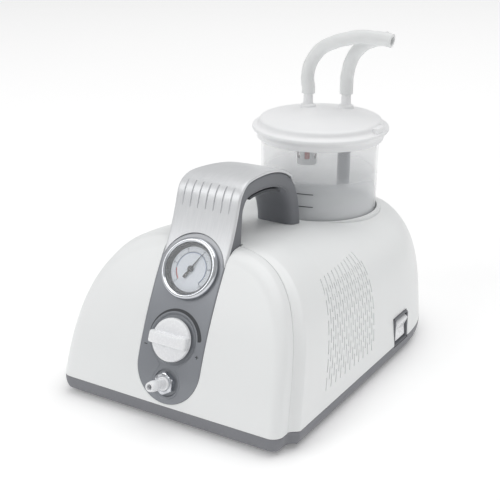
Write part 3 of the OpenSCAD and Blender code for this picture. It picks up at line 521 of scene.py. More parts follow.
levels = [(3.0, 4.4), (3.25, 3.4), (3.9, 2.4), (5.0, 1.6), (6.6, 0.9), (8.6, 0.4), (11, 0.12),
          (13.5, 0.0), (14.0, 0.12), (14.2, 0.5), (14.2, 2.6), (9, 2.9), (7, 3.6), (6, 5.6)]
tray = np.stack([np.insert(plan_ring(i), 2, z, axis=1) for z, i in levels])
middle = np.array([0, 142.0, 0])
shrink = np.array([0.0, 0.35, 0.7])[:, None, None] * [1, 1, 0] + [0, 0, 1]
tray = np.concatenate([(tray[:1] - middle) * shrink + middle, tray,
                       ((tray[-1:] - middle) * shrink + middle)[::-1]])
tray_mesh = grid_mesh("tray", tray + [0, front_y, 0], around=True)
low, high = node_tool("switch_bezel", window_gap)
tray_mesh = carve(tray_mesh, box_tool(low - [4, 0, 0], high + [8, 0, 0]))
screw_r, screw_in = 3.4, 8.5
sink = [prism(circle(screw_r, (side * (float(foot_w(np.array(depth))) - screw_in), depth + front_y),
                     32), 2, 5, "xy") for side in (-1, 1) for depth in (40, 148, 222)]
tray_mesh = carve(tray_mesh, joined(*sink))


def base_look(s, place):
    """Spark-eroded grey ABS: a fine speckle in broad clouds."""
    cloud = s.noise(place, 22.0, 2.0)
    speck = s.noise(place, 1500.0, 2.0)
    return {"Base Color": (cloud * 0.6 + speck * 0.4).mix(rgb(112, 113, 118), rgb(140, 141, 146)),
            "Roughness": speck * 0.16 + 0.42}


base_grey = finish("base_grey", base_look, lambda s, place: s.noise(place, 1500.0, 2.0), 0.25,
                   0.00015)
base = add("tray", tray_mesh, 30, base_grey)
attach(base, "housing")
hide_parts("base_tray")

# --- Control panel ----------------------------------------------------------------------------
# Satin grey moulding let into the cover's slot: a round foot, a flush pocket for knob and nozzle
# with a drawn-in waist, and a top that follows the gauge. It stands 0.6 mm proud.
panel_w, proud, head_r, head_seam = 26.0, 0.6, 25.7, 5.9


def step_down(distance, depth, width=0.6):
    """Depth of a pocket whose edge is an eased slope this wide, where distance is inwards."""
    return depth * ease(ramp(distance, -width / 2, width / 2))


gx, gh = np.meshgrid(np.linspace(-27, 27, 217), np.linspace(0.5, 118.5, 473), indexing="ij")
gauge_up, knob_up, nozzle_up = ((gh - h) / np.cos(tilt_at(h)) for h in (gauge_h, knob_h, nozzle_h))
side = np.where(gh < 28, panel_w - np.hypot(gx, gh - 28), panel_w - np.abs(gx))
arc = head_r - np.hypot(gx, gauge_up)
side = np.where(gauge_up > head_seam, np.minimum(side, arc), side)
to_knob, to_nozzle = 18.6 - np.hypot(gx, knob_up), 11.4 - np.hypot(gx, nozzle_up)
blend = np.clip(0.5 + 0.5 * (to_knob - to_nozzle) / 9, 0, 1)
waist = to_nozzle * (1 - blend) + to_knob * blend + 9 * blend * (1 - blend)
depth = (0.7 * (1 - np.sqrt(1 - (1 - ramp(side, 0, 0.9)) ** 2))
         + step_down(waist, 0.45) + step_down(to_knob - 0.9, 0.5)
         + step_down(9.6 - np.hypot(gx, nozzle_up), 1.1, 0.5))
top = np.stack([gx, lean(gh) - proud + depth, gh], -1)
under = np.stack([gx, lean(gh) + 2.4, gh], -1)
loop = np.concatenate([top, under[:, ::-1]], 1)
panel_mesh = grid_mesh("panel", in_model(capped(loop)), around=True)
panel_mesh = carve(panel_mesh, prism(band(panel_w) + [0, foot_z], front_y - 30, front_y + 80),
                   "INTERSECT")


def round_headed(r, seam, steps):
    """Block about the gauge's middle: everything below a seam, and a round head above it."""
    start = np.arcsin(seam / r)
    outline = np.vstack([[[-60, -160], [60, -160], [60, seam]],
                         circle(r, (0, 0), steps, start, np.pi - start), [[-60, seam]]])
    return placed(prism(outline, -30, 30, "xy"), gauge_h)


panel_mesh = carve(panel_mesh, round_headed(head_r, head_seam, 64), "INTERSECT")
for r, steps, bottom, h in ((19.9, 96, -30, gauge_h), (7.1, 48, -20, knob_h),
                            (5.1, 48, -20, nozzle_h)):
    panel_mesh = carve(panel_mesh, placed(prism(circle(r, steps=steps), bottom, 10, "xy"), h))


def panel_look(s, place):
    """Satin grey paint over plastic: pale mica flecks, slow shifts of tone, and painted light at
    the top.
    """
    cloud = s.noise(place, 26.0, 2.0)
    fleck = s.noise(place, 2200.0, 1.0)
    low = (cloud * 0.6 + fleck * 0.4).mix(rgb(126, 129, 135), rgb(150, 153, 158))
    high = (cloud * 0.6 + fleck * 0.4).mix(rgb(176, 178, 182), rgb(196, 198, 201))
    # Painted light: the face turns paler above the gauge's middle, where more light falls.
    painted_light_rise = s.make("SeparateXYZ", {}, {"Vector": place}, out=2).clamp(0.106, 0.126)
    return {"Base Color": painted_light_rise.mix(low, high), "Roughness": fleck * 0.14 + 0.3}


panel_grey = finish("panel_grey", panel_look, lambda s, place: s.noise(place, 1800.0), 0.1, 0.0001,
                    **{"Metallic": 0.25, "Coat Weight": 0.15, "Coat Roughness": 0.25})
panel = add("panel", panel_mesh, 30, panel_grey)
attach(panel, "housing")
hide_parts("control_panel")

# --- Panel marks and painted shade ------------------------------------------------------------
# Painted shade: a dark band that swells clockwise round the knob stands for the shade there.
# A minus and a plus are printed at its ends, and all lie just above the paint.
def lying(outline_in, outline_out, h, lift):
    """Thin layer between two polar curves on the face at height h, bent to the leaning face."""
    flat = np.stack([outline_in, (outline_in + outline_out) / 2, outline_out])
    axes, origin = front_frame(h)
    up = h + flat[..., 1] * axes[1, 2]
    skin = np.stack([flat[..., 0], lean(up) - proud - lift, up], -1)
    back = skin + [0, 0.25, 0]
    return in_model(np.concatenate([skin, back[::-1], skin[:1]]))


# Painted shade round the knob: a dark band, widest at its clockwise end.
sweep = np.radians(np.linspace(176, 9, 120))
swell = (176 - np.degrees(sweep)) / 167
wide = 0.15 + 3.0 * swell**0.75
wide[-4:] *= [1, 0.97, 0.9, 0.7]
inner, outer = (np.stack([r * np.cos(sweep), r * np.sin(sweep)], 1) for r in (19.9, 19.9 + wide))
# Dark ink for the print, also used as the painted shade round the knob.
dark_ink_and_shade = finish("dark_ink_and_shade", lambda s, place: {
    "Base Color": s.noise(place, 300.0).mix(rgb(52, 54, 58), rgb(66, 68, 72)),
    "Roughness": s.noise(place, 900.0) * 0.12 + 0.4})


def bar(centre_at, half):
    """Straight printed bar, as the two edges of a thin layer."""
    x = np.linspace(-half[0], half[0], 5)
    return (np.stack([centre_at[0] + x, np.full(5, centre_at[1] - half[1])], 1),
            np.stack([centre_at[0] + x, np.full(5, centre_at[1] + half[1])], 1))


shade_and_marks = [grid_mesh("knob_shade", lying(inner, outer, knob_h, 0.03))]
flat_bar, upright_bar = (1.3, 0.32), (0.32, 1.3)
for x, halves in ((-21.4, [flat_bar]), (21.4, [flat_bar, upright_bar])):
    shade_and_marks += [grid_mesh("mark", lying(*bar((x, -7.2), half), knob_h, 0.04)) for half in halves]
marks = add("panel_marks_and_shade", joined(*shade_and_marks), 30, dark_ink_and_shade)
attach(marks, "housing")

# --- Vacuum gauge -----------------------------------------------------------------------------
# A round dial gauge let into the panel: spun chrome bezel, an inner ring in black as painted shade,
# a printed card and a domed clear lens, with a pointer pinned at the middle.
def turned(profile, sides=128, at=(0, 0)):
    """Solid of revolution about Z: a closed profile of radius and height."""
    profile = np.asarray(profile, float)
    a = np.linspace(0, 2 * np.pi, sides, endpoint=False)[None]
    r, z = profile[:, :1], profile[:, 1:]
    return np.stack([at[0] + r * np.cos(a), at[1] + r * np.sin(a), z + 0 * a], -1)


def rounded_profile(corners, radius, per=6):
    """Polygon with each corner turned by a quadratic curve of about that radius."""
    p = np.asarray(corners, float)
    radius = np.broadcast_to(radius, len(p))
    before, after = np.roll(p, 1, 0) - p, np.roll(p, -1, 0) - p
    cut = np.minimum(radius, 0.45 * np.minimum(np.linalg.norm(before, axis=1),
                                               np.linalg.norm(after, axis=1)))[:, None]
    a, b = p + unit(before) * cut, p + unit(after) * cut
    t = np.linspace(0, 1, per)[None, :, None]
    return (a[:, None] * (1 - t) ** 2 + p[:, None] * 2 * t * (1 - t) + b[:, None] * t**2
            ).reshape(-1, 2)


def closed_turned(name, profile, sides=128, at=(0, 0)):
    profile = np.asarray(profile, float)
    return grid_mesh(name, turned(np.vstack([profile, profile[:1]]), sides, at), around=True)


def chrome_look(s, place):
    """Polished chrome with faint circular polishing lines and a breath of haze."""
    haze = s.noise(place, 160.0)
    return {"Base Color": haze.mix(rgb(196, 199, 204), rgb(226, 228, 232)),
            "Roughness": haze * 0.1 + 0.1}


chrome = finish("chrome", chrome_look,
                lambda s, place: s.noise(s.stretch(place, (1, 1, 9)), 700.0),
                0.03, 0.00005, Metallic=1.0)
bezel_profile = rounded_profile([[18.5, 0.8], [22.0, 0.8], [22.3, 1.6], [22.2, 3.0], [21.2, 4.6],
                                 [19.6, 4.9], [18.7, 4.0], [18.5, 3.4]], 0.7)
bezel = add("bezel", placed(closed_turned("bezel", bezel_profile, 160), gauge_h), 60, chrome)
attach(bezel, "housing")
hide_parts("gauge_bezel")

black_and_painted_shade = finish("black_and_painted_shade", lambda s, place: {
    "Base Color": s.noise(place, 200.0).mix(rgb(22, 23, 25), rgb(34, 35, 38)),
    "Roughness": s.noise(place, 700.0) * 0.15 + 0.18})
# Painted shade: the inner ring between bezel and card is black all round, for the bezel's shadow.
frame["nodes"]["dial_ring"].data.materials[0] = black_and_painted_shade

card = closed_turned("card", [[0.0, -1.3], [18.4, -1.3], [18.4, -0.5], [0.0, -0.5]])
dial_card = finish("dial_card", lambda s, place: {
    "Base Color": s.noise(place, 60.0, 2.0).mix(rgb(226, 231, 240), rgb(238, 242, 248)),
    "Roughness": s.noise(place, 1200.0) * 0.1 + 0.45})
dial = add("dial", placed(card, gauge_h), 30, dial_card)
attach(dial, "housing")
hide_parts("gauge_dial")


def printed(outline_in, outline_out, z=-0.5, thick=0.06):
    """Thin raised print on the card, between two edges."""
    skin = np.stack([outline_in, outline_out])
    skin = np.concatenate([skin, np.full(skin.shape[:2] + (1,), z + thick)], -1)
    base = skin - [0, 0, thick]
    return grid_mesh("print", np.concatenate([skin, base[::-1], skin[:1]]))


def arc_print(r0, r1, a0, a1, steps=60):
    a = np.radians(np.linspace(a0, a1, steps))
    return printed(*(np.stack([r * np.cos(a), r * np.sin(a)], 1) for r in (r0, r1)))


def ray_print(angle, r0, r1, half):
    """Tick: a short bar along a radius."""
    a = np.radians(angle)
    d, n = np.array([np.cos(a), np.sin(a)]), np.array([-np.sin(a), np.cos(a)])
    ends = np.array([r0, (r0 + r1) / 2, r1])[:, None] * d
    return printed(ends - half * n, ends + half * n)


def numeral(text, at, size):
    """Small printed number, from the built-in face, as a mesh."""
    curve = bpy.data.curves.new("numeral", "FONT")
    curve.body, curve.size, curve.align_x, curve.align_y = text, size * 0.001, "CENTER", "CENTER"
    curve.extrude = 0.00003
    piece = bpy.data.objects.new("numeral", curve)
    bpy.context.scene.collection.objects.link(piece)
    mesh = settle(piece)
    mesh.transform(Matrix.Translation((at[0] * 0.001, at[1] * 0.001, -0.00046)))
    return mesh


sweep_a = np.linspace(225, -45, 51)
black_print = [arc_print(12.0, 12.25, 222, -45, 120)]
black_print += [ray_print(a, 12.1, 13.9 if n % 10 == 0 else (13.4 if n % 5 == 0 else 12.9),
                          0.2 if n % 10 == 0 else 0.11) for n, a in enumerate(sweep_a)]
black_print += [numeral(str(n * 20), (15.0 * np.cos(np.radians(a)), 15.0 * np.sin(np.radians(a))),
                        1.7) for n, a in enumerate(np.linspace(225, -45, 6))]
red_print = [arc_print(11.4, 12.0, 225, 186, 40)]
blue_print = [arc_print(11.5, 11.95, 180, -45, 120)]
inks = {"dial_print_black": (black_print, rgb(58, 62, 78), rgb(76, 80, 98)),
        "dial_print_red": (red_print, rgb(196, 60, 52), rgb(216, 84, 70)),
        "dial_print_blue": (blue_print, rgb(150, 166, 196), rgb(166, 180, 206))}
for name, (meshes, dark, pale) in inks.items():
    ink = finish(name, lambda s, place: {"Base Color": s.noise(place, 900.0).mix(dark, pale),
                                         "Roughness": s.noise(place, 400.0) * 0.1 + 0.5})
    marks = add(name, placed(joined(*meshes), gauge_h), 30, ink)
    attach(marks, "housing")

# The pointer is a stamped, blacked blade with a heavy tail and a turned hub.
along = np.array([-7.9, -7.7, -7.0, -4.4, -2.4, -1.4, 0, 1.4, 3, 8, 12.6, 13.0])
half = np.array([0.8, 1.15, 1.3, 1.2, 0.75, 0.75, 0.9, 0.75, 0.5, 0.34, 0.16, 0.06])
sect = np.array([[-1, 0.5], [-0.9, 0.85], [0, 1.0], [0.9, 0.85], [1, 0.5], [0, 0.45]])
blade = np.stack([half[:, None] * sect[None, :, 0], np.repeat(along[:, None], 6, 1),
                  np.repeat(sect[None, :, 1], len(along), 0)], -1)
blade = grid_mesh("blade", capped(blade), around=True)
hub_profile = [[0, 0.3], [2.3, 0.3], [2.3, 1.3], [1.2, 1.9], [0, 1.9]]
hub = closed_turned("hub", rounded_profile(hub_profile, [0, 0.2, 0.4, 0.4, 0]), 48)
pin = closed_turned("pin", [[0, -3.9], [0.6, -3.9], [0.6, 0.6], [0, 0.6]], 32)
pointer_mesh = joined(blade, hub, pin)
pointer_mesh.transform(Matrix.Rotation(np.radians(-28), 4, "Z"))
pointer = add("pointer", placed(pointer_mesh, gauge_h), 35, black_and_painted_shade)
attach(pointer, "needle")
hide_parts("gauge_needle")

lens_r = np.linspace(18.4, 0, 24)
dome = 3.55 + 0.7 * (1 - (lens_r / 18.4) ** 2)
lens_profile = np.vstack([[[0, 3.3], [18.4, 3.3]], np.stack([lens_r, dome], 1)])
clear = finish("clear_lens", lambda s, place: {"Roughness": s.noise(place, 300.0) * 0.02 + 0.01},
               **{"Base Color": rgb(246, 250, 252), "Alpha": 0.1, "IOR": 1.5})
lens_piece = add("lens", placed(closed_turned("lens", lens_profile), gauge_h), 40, clear)
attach(lens_piece, "housing")
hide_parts("gauge_lens")

# --- Regulator knob ---------------------------------------------------------------------------
# White moulded knob: a shallow disc with a rounded edge and a bar across it to turn it by, whose
# cheeks are hollowed and whose ends overhang the disc.
disc = closed_turned("knob", rounded_profile([[0, 1.2], [15.1, 1.2], [15.5, 1.9], [15.1, 4.6],
                                              [0, 4.9]], [0, 0.4, 0.5, 1.2, 0]), 128)
bar_x = np.concatenate([[-15.25, -15.2, -15.0, -14.5], np.linspace(-13.5, 13.5, 33),
                        [14.5, 15.0, 15.2, 15.25]])
bar_half = 4.7 - 0.35 * np.cos(np.pi * bar_x / 30.5)
bar_top = np.sqrt(60.0**2 - bar_x**2) - 48.7
shrunk = np.array([0.0, 0.55, 0.82, 0.95, 1.0])
grow = np.concatenate([shrunk[:4], np.ones(33), shrunk[3::-1]])


def squared_round(steps, power):
    """Superellipse of unit half widths, as its two coordinates round the ring."""
    a = np.linspace(0, 2 * np.pi, steps, endpoint=False)[None]
    return (np.sign(c) * np.abs(c) ** power for c in (np.cos(a), np.sin(a)))


cx, cz = squared_round(96, 0.3)
middle_z = (2.4 + bar_top) / 2
bar_grid = np.stack([np.repeat(bar_x[:, None], 96, 1),
                     (bar_half * grow)[:, None] * cx * (1 - 0.1 * np.maximum(cz, 0)),
                     middle_z[:, None] + ((bar_top - 2.4) / 2 * grow)[:, None] * cz], -1)
bar_mesh = grid_mesh("bar", bar_grid, around=True)
knob_mesh = carve(disc, bar_mesh, "UNION")
knob_mesh = carve(knob_mesh, prism(circle(3.0, steps=32), -1, 7.6, "xy"))


def gloss_white_look(s, place):
    """Gloss white moulding, a touch cooler than the shells, with faint sink marks."""
    cloud = s.noise(place, 50.0, 2.0)
    return {"Base Color": cloud.mix(rgb(240, 241, 244), rgb(248, 249, 250)),
            "Roughness": s.noise(place, 600.0) * 0.1 + 0.22}


knob_white = finish("knob_white", gloss_white_look, lambda s, place: s.noise(place, 120.0), 0.03,
                    0.0002, **{"Coat Weight": 0.25, "Coat Roughness": 0.12})
knob = add("knob", placed(knob_mesh, knob_h), 40, knob_white)
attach(knob, "knob")
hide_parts("regulator_knob")

# --- Suction nozzle ---------------------------------------------------------------------------
# A white bored nipple with a soft barb, held by a chromed hexagon nut whose corners are turned
# off to a cone.
nipple_profile = rounded_profile(
    [[2.0, -14], [3.0, -14], [3.0, -8], [7, -8], [7, -4.6], [5, -4.6], [5, 4.4], [4.0, 4.7],
     [3.7, 8.5], [4.0, 16.2], [3.2, 20.4], [2.0, 20.4]],
    [0, .1, .2, .4, .3, .2, .5, .4, .6, 1, .6, .2])
nipple_mesh = placed(closed_turned("nipple", nipple_profile, 64), nozzle_h)
nipple = add("nipple", nipple_mesh, 40, knob_white)
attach(nipple, "housing")
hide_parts("suction_nozzle")

nut_a = np.linspace(0, 2 * np.pi, 96, endpoint=False)
flat_r = 7.1 / np.cos((nut_a + np.pi / 6) % (np.pi / 3) - np.pi / 6)
nut_rows = []
for z, cap_r in ((-0.5, 7.3), (0.1, 8.2), (3.3, 8.2), (3.8, 7.6), (4.1, 6.9),
                 (4.1, 5.6), (3.8, 5.15), (-0.5, 5.15)):
    r = np.minimum(flat_r, cap_r)
    nut_rows.append(np.stack([r * np.cos(nut_a), r * np.sin(nut_a), np.full(96, z)], 1))
nut_rows = np.stack(nut_rows + nut_rows[:1])
nut = add("nut", placed(grid_mesh("nut", nut_rows, around=True), nozzle_h), 25, chrome)
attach(nut, "housing")
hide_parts("nozzle_nut")

# --- Handle frame -----------------------------------------------------------------------------
# The grey structural moulding of the handle: it rises behind the gauge, bends over the bar and
# comes down as a D-shaped leg. Its outside is let in by the skin's thickness as far as that goes.
def bezier(a, b, c, n):
    t = np.linspace(0, 1, n, endpoint=False)[:, None]
    a, b, c = (np.array(p, float) for p in (a, b, c))
    return a * (1 - t) ** 2 + b * 2 * t * (1 - t) + c * t**2


def smooth_line(line, rounds):
    """Evens out the small kinks between joined curves by averaging neighbours."""
    for _ in range(rounds):
        line[1:-1] = (line[:-2] + 2 * line[1:-1] + line[2:]) / 4
    return line


lean_run = np.linspace(89, 99, 6, endpoint=False)
counts = (14, 24, 40, 30)
outer_line = np.vstack([np.stack([lean(lean_run), lean_run], 1),
                        bezier([42.5, 100], [51.4, 114], [58, 136], counts[0] + 6),
                        bezier([58.2, 137], [63, 149], [78, 149], counts[1]),
                        bezier([80, 149], [122, 148], [146, 134], counts[2]),
                        bezier([147, 133.3], [165, 122], [169, 88], counts[3]), [[169, 88]]])
inner_line = np.vstack([np.stack([np.full(26, 63.0), np.linspace(96, 124, 26, endpoint=False)], 1),
                        bezier([63, 124.5], [63.3, 135.3], [76, 136], counts[1]),
                        bezier([78, 136], [116, 134.5], [134, 123], counts[2]),
                        bezier([135, 122.3], [149, 112], [149, 91], counts[3]), [[149, 88]]])
outer_line, inner_line = smooth_line(outer_line, 6), smooth_line(inner_line, 6)
total = len(outer_line)
skin_end = 26 + counts[1] + counts[2] + 3


def normal_of(line):
    t = unit(np.gradient(line, axis=0))
    return np.stack([t[:, 1], -t[:, 0]], 1)


def half_width(y):
    return 26 - np.interp(y, [0, 62, 100, 140, 173], [0, 0, 4, 8, 11.5])


let_in = np.where(np.arange(total) < skin_end, 1.15, 0.0)
frame_out = outer_line + normal_of(outer_line) * let_in[:, None]
share = ramp(np.arange(total), 40, total - 25)[:, None]
cx, cn = squared_round(72, 2 / (9 - 5.2 * share))
mid_line, reach = (frame_out + inner_line) / 2, (frame_out - inner_line) / 2
yz = mid_line[:, None] + reach[:, None] * cn[..., None]
frame_grid = np.stack([half_width(mid_line[:, 0])[:, None] * cx, yz[..., 0], yz[..., 1]], -1)
frame_grid[..., 0] *= 0.996
frame_mesh = grid_mesh("handle", in_model(capped(frame_grid)), around=True)
frame_mesh = carve(frame_mesh, placed(prism(circle(19.95), -40, 30, "xy"), gauge_h))


def frame_look(s, place):
    """Dark grey ABS with a fine even texture, a little greasy."""
    cloud = s.noise(place, 30.0, 2.0)
    speck = s.noise(place, 1700.0, 2.0)
    return {"Base Color": (cloud * 0.5 + speck * 0.5).mix(rgb(98, 100, 105), rgb(124, 126, 131)),
            "Roughness": speck * 0.14 + cloud * 0.06 + 0.36}


frame_grey = finish("frame_grey", frame_look, lambda s, place: s.noise(place, 1700.0, 2.0), 0.2,
                    0.00012)
handle = add("handle_body", frame_mesh, 30, frame_grey)
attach(handle, "housing")
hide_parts("handle_frame")

# A raised bead runs along each side of the bar, above its lower edge.
bead_rows = slice(30, total - 24)
bead_line = (inner_line + unit(reach) * 2.4)[bead_rows]
bead_a = np.linspace(0, 2 * np.pi, 12, endpoint=False)[None]
beads = []
for flank in (-1, 1):
    n = normal_of(bead_line)
    yz = bead_line[:, None] + 0.45 * np.sin(bead_a)[..., None] * n[:, None]
    bx = flank * (half_width(mid_line[bead_rows, 0])[:, None] * 0.992 + 0.3 * np.cos(bead_a))
    grid = np.stack([bx, yz[..., 0], yz[..., 1]], -1)
    fade = np.minimum(1, np.minimum(np.arange(len(grid)), np.arange(len(grid))[::-1]) / 3)
    core = grid.mean(1, keepdims=True)
    grid = core + (grid - core) * fade[:, None, None]
    beads.append(grid_mesh("bead", in_model(grid), around=True))
bead = add("handle_bead", joined(*beads), 60, frame_grey)
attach(bead, "housing")

# --- Handle skin ------------------------------------------------------------------------------
# Silver painted cap over the front and top of the handle. Its foot is cut to an arch round the
# gauge, its edges are rolled over, and seven short grooves cross the front bend.
n_in = normal_of(outer_line)[:skin_end]
line = outer_line[:skin_end] - n_in * 0.6
w = half_width(line[:, 0])
edge = 1.3
corner = np.radians(np.linspace(0, 90, 9))
section = [(-1.0, 0.0, 2.3)]
section += [(-1.0, edge * (1 - np.cos(c)), edge * (1 - np.sin(c))) for c in corner]
section += [(float(t), 0.0, 0.0) for t in np.linspace(-0.93, 0.93, 39)]
section += [(1.0, -edge * (1 - np.cos(c)), edge * (1 - np.sin(c))) for c in corner[::-1]]
section += [(1.0, 0.0, 2.3)] + [(share, 0.0, 2.5) for share in (0.97, 0.5, -0.5, -0.97)]
section = np.array(section)
crowned = 0.5 * section[:, 0] ** 2 * (section[:, 2] < 1.5)
xs = w[:, None] * section[None, :, 0] + section[None, :, 1]
ys = line[:, None] + n_in[:, None] * (section[None, :, 2] + crowned)[..., None]
cap_grid = np.stack([xs, ys[..., 0], ys[..., 1]], -1)
skin_mesh = grid_mesh("silver", in_model(capped(cap_grid)), around=True)
skin_mesh = carve(skin_mesh, round_headed(head_r + 0.2, head_seam + 0.2, 96))
bend, groove_pitch = slice(22, 38), 6.4
t = np.linspace(-1, 1, 16)[:, None]
g = np.linspace(0, 2 * np.pi, 12, endpoint=False)[None]
across = 0.6 * np.sqrt(np.maximum(1 - t**8, 0)) * np.cos(g)
inwards = 0.9 * np.maximum(1 - t**6, 0) * np.sin(g) + 0.25
yz = line[bend][:, None] + n_in[bend][:, None] * inwards[..., None]
grooves = [np.stack([k * groove_pitch + across, yz[..., 0], yz[..., 1]], -1) for k in range(-3, 4)]
skin_mesh = carve(skin_mesh, joined(*(grid_mesh("groove", in_model(groove), around=True)
                                      for groove in grooves)))


def silver_look(s, place):
    """Silver paint with an upright brushed grain."""
    brush = s.noise(s.stretch(place, (46.0, 3.0, 3.0)), 30.0, 4.0)
    cloud = s.noise(place, 20.0, 2.0)
    return {"Base Color": (brush * 0.7 + cloud * 0.3).mix(rgb(206, 208, 210), rgb(232, 233, 235)),
            "Roughness": brush * 0.16 + 0.28}


silver = finish("silver_paint", silver_look,
                lambda s, place: s.noise(s.stretch(place, (46.0, 3.0, 3.0)), 30.0, 4.0), 0.12,
                0.0002, **{"Metallic": 0.3, "Coat Weight": 0.15, "Coat Roughness": 0.2})
silver_cap = add("handle_cap", skin_mesh, 30, silver)
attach(silver_cap, "housing")
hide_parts("handle_shell")

# --- Jar --------------------------------------------------------------------------------------
# Clear blow-moulded jar, tapered so that it lifts out of its well, with a round heel and a thick
# rim. Two graduation lines are printed on its front.
jar_z, jar_top, jar_r, heel_r = 16.9, 163.9, 48.8, 45.6
jar_profile = rounded_profile(
    [[0, jar_z], [heel_r, jar_z], [jar_r - 0.35, jar_top - 4], [jar_r, jar_top - 3.6],
     [jar_r, jar_top], [jar_r - 2.2, jar_top], [heel_r - 2.2, jar_z + 2.4], [0, jar_z + 2.2]],
    [0, 5.5, .2, .3, .5, .5, 4, 0], 8)


def jar_look(s, place):
    """Clear under the lid, and whiter and more opaque lower down in the well: painted light over
    its shade.
    """
    up = s.make("SeparateXYZ", {}, {"Vector": place}, out=2)
    # Painted light: the jar turns more opaque and white low down, hiding the shade of the well
    # behind it.
    painted_light_veil = 1.0 - up.clamp(0.098, 0.136)
    return {"Roughness": s.noise(place, 60.0, 2.0) * 0.1 + 0.08, "Alpha": painted_light_veil * 0.42 + 0.2}


jar_clear = finish("jar_clear", jar_look,
                   lambda s, place: s.noise(s.stretch(place, (1, 1, 0.25)), 60.0), 0.05, 0.0004,
                   **{"Base Color": rgb(247, 249, 251), "IOR": 1.4})
jar = add("jar", closed_turned("jar", jar_profile, 160, (0, jar_y)), 40, jar_clear)
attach(jar, "jar")
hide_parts("jar_body")


def jar_line(z, a0, a1, half):
    """Printed line round the jar at height z, from angle to angle."""
    a = np.radians(np.linspace(a0, a1, 24))
    slope = (jar_r - 0.35 - heel_r) / (jar_top - 4 - jar_z)
    rows_l = []
    for lift, up in ((0.06, -half), (0.06, half), (-0.2, half), (-0.2, -half), (0.06, -half)):
        r = heel_r + slope * (z + up - jar_z) + lift
        rows_l.append(np.stack([r * np.cos(a), jar_y + r * np.sin(a), np.full(24, z + up)], 1))
    return grid_mesh("line", np.stack(rows_l))


lines = add("jar_lines", joined(*(jar_line(z, -108 + k, -67.5, 0.36)
                                  for k, z in ((0, 121.8), (4, 111.5)))), 30, dark_ink_and_shade)
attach(lines, "jar")

# --- Lid --------------------------------------------------------------------------------------
# Milky polypropylene lid: a low dome inside a raised ring, a wide thin flange with a finger tab,
# and a nipple for each tube.
lid_z = 164.2
lid_profile = rounded_profile(
    [[0, lid_z + 1], [jar_r + 0.5, lid_z + 1], [jar_r + 0.5, lid_z - 7], [jar_r + 2.6, lid_z - 7],
     [jar_r + 3.2, lid_z - 2.4], [54.6, lid_z - 0.6], [55.6, lid_z + 0.6], [55.4, lid_z + 2.6],
     [51.6, lid_z + 3.6], [50.2, lid_z + 4.8], [49.6, lid_z + 7.6], [48.0, lid_z + 8.8],
     [40, lid_z + 9.6], [20, lid_z + 11.4], [0, lid_z + 12]],
    [0, .2, .5, .6, 1.4, 1.2, .6, 1.2, 1.2, 1.2, 1.6, 1.6, 5, 8, 0])
lid_mesh = closed_turned("lid", lid_profile, 160, (0, jar_y))
ports = [(-22, jar_y + 19), (6, jar_y + 33)]
for port in ports:
    boss = rounded_profile([[0, lid_z + 8], [7.2, lid_z + 8], [6.2, lid_z + 12.8],
                            [4.1, lid_z + 13.4], [3.9, lid_z + 21.9], [3.3, lid_z + 22],
                            [0, lid_z + 22]], [0, .2, .6, .9, .2, .2, 0])
    lid_mesh = carve(lid_mesh, closed_turned("boss", boss, 64, port), "UNION")
    spigot = closed_turned("spigot", [[0, lid_z - 8], [4, lid_z - 8], [4, lid_z + 8.5],
                                      [0, lid_z + 8.5]], 48, port)
    lid_mesh = carve(lid_mesh, spigot, "UNION")
    bore = closed_turned("bore", [[0, lid_z - 10], [2.4, lid_z - 10], [2.4, lid_z + 24],
                                  [0, lid_z + 24]], 40, port)
    lid_mesh = carve(lid_mesh, bore)
tab_a = np.radians(np.linspace(-7.5, 7.5, 9))
tab = np.vstack([np.stack([r * np.cos(t), jar_y + r * np.sin(t)], 1)
                 for r, t in ((48.2, tab_a), (54.0, tab_a[::-1]))])
lid_mesh = carve(lid_mesh, prism(tab, lid_z + 2.5, lid_z + 7.4, "xy"), "UNION")


def lid_look(s, place):
    """Milky polypropylene: soft clouds from the moulding and a waxy sheen."""
    cloud = s.noise(place, 34.0, 2.0)
    return {"Base Color": cloud.mix(rgb(243, 244, 245), rgb(251, 251, 252)),
            "Roughness": s.noise(place, 500.0) * 0.12 + 0.34}


lid_white = finish("lid_white", lid_look, lambda s, place: s.noise(place, 250.0), 0.06, 0.0002,
                   **{"Alpha": 0.97, "IOR": 1.45})
lid = add("lid", lid_mesh, 30, lid_white)
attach(lid, "lid")
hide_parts("jar_lid")

# --- Switch -----------------------------------------------------------------------------------
# Rocker switch in the right flank: a grey snap-in frame with rounded corners round a white
# rocker, dished on both faces.
low, high = node_tool("switch_bezel", 0.0)
cy, cz = (low[1] + high[1]) / 2, (low[2] + high[2]) / 2
hy, hz = (high[1] - low[1]) / 2, (high[2] - low[2]) / 2
a = np.linspace(0, 2 * np.pi, 96, endpoint=False)


def squircle(half_y, half_z, x, n=9):
    r = (np.abs(np.cos(a)) ** n + np.abs(np.sin(a)) ** n) ** (-1 / n)
    return np.stack([np.full(96, x), cy + half_y * r * np.cos(a), cz + half_z * r * np.sin(a)], 1)


hole = 10.4
switch_rows = [squircle(hy - inset, hz - inset, x) for inset, x in (
    (0.6, low[0]), (0.6, high[0] - 1.6), (0, high[0] - 1.5), (0, high[0] - 0.7),
    (0.25, high[0] - 0.15), (0.8, high[0]))]
switch_rows += [squircle(hole + wider, hole + wider, x, power) for wider, x, power in (
    (0.5, high[0], 14), (0.05, high[0] - 0.5, 16), (0, high[0] - 1.2, 16), (0, low[0], 16))]
switch = add("switch_frame", grid_mesh("switch", np.stack(switch_rows + switch_rows[:1]),
                                       around=True), 30, frame_grey)
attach(switch, "housing")
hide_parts("switch_bezel")

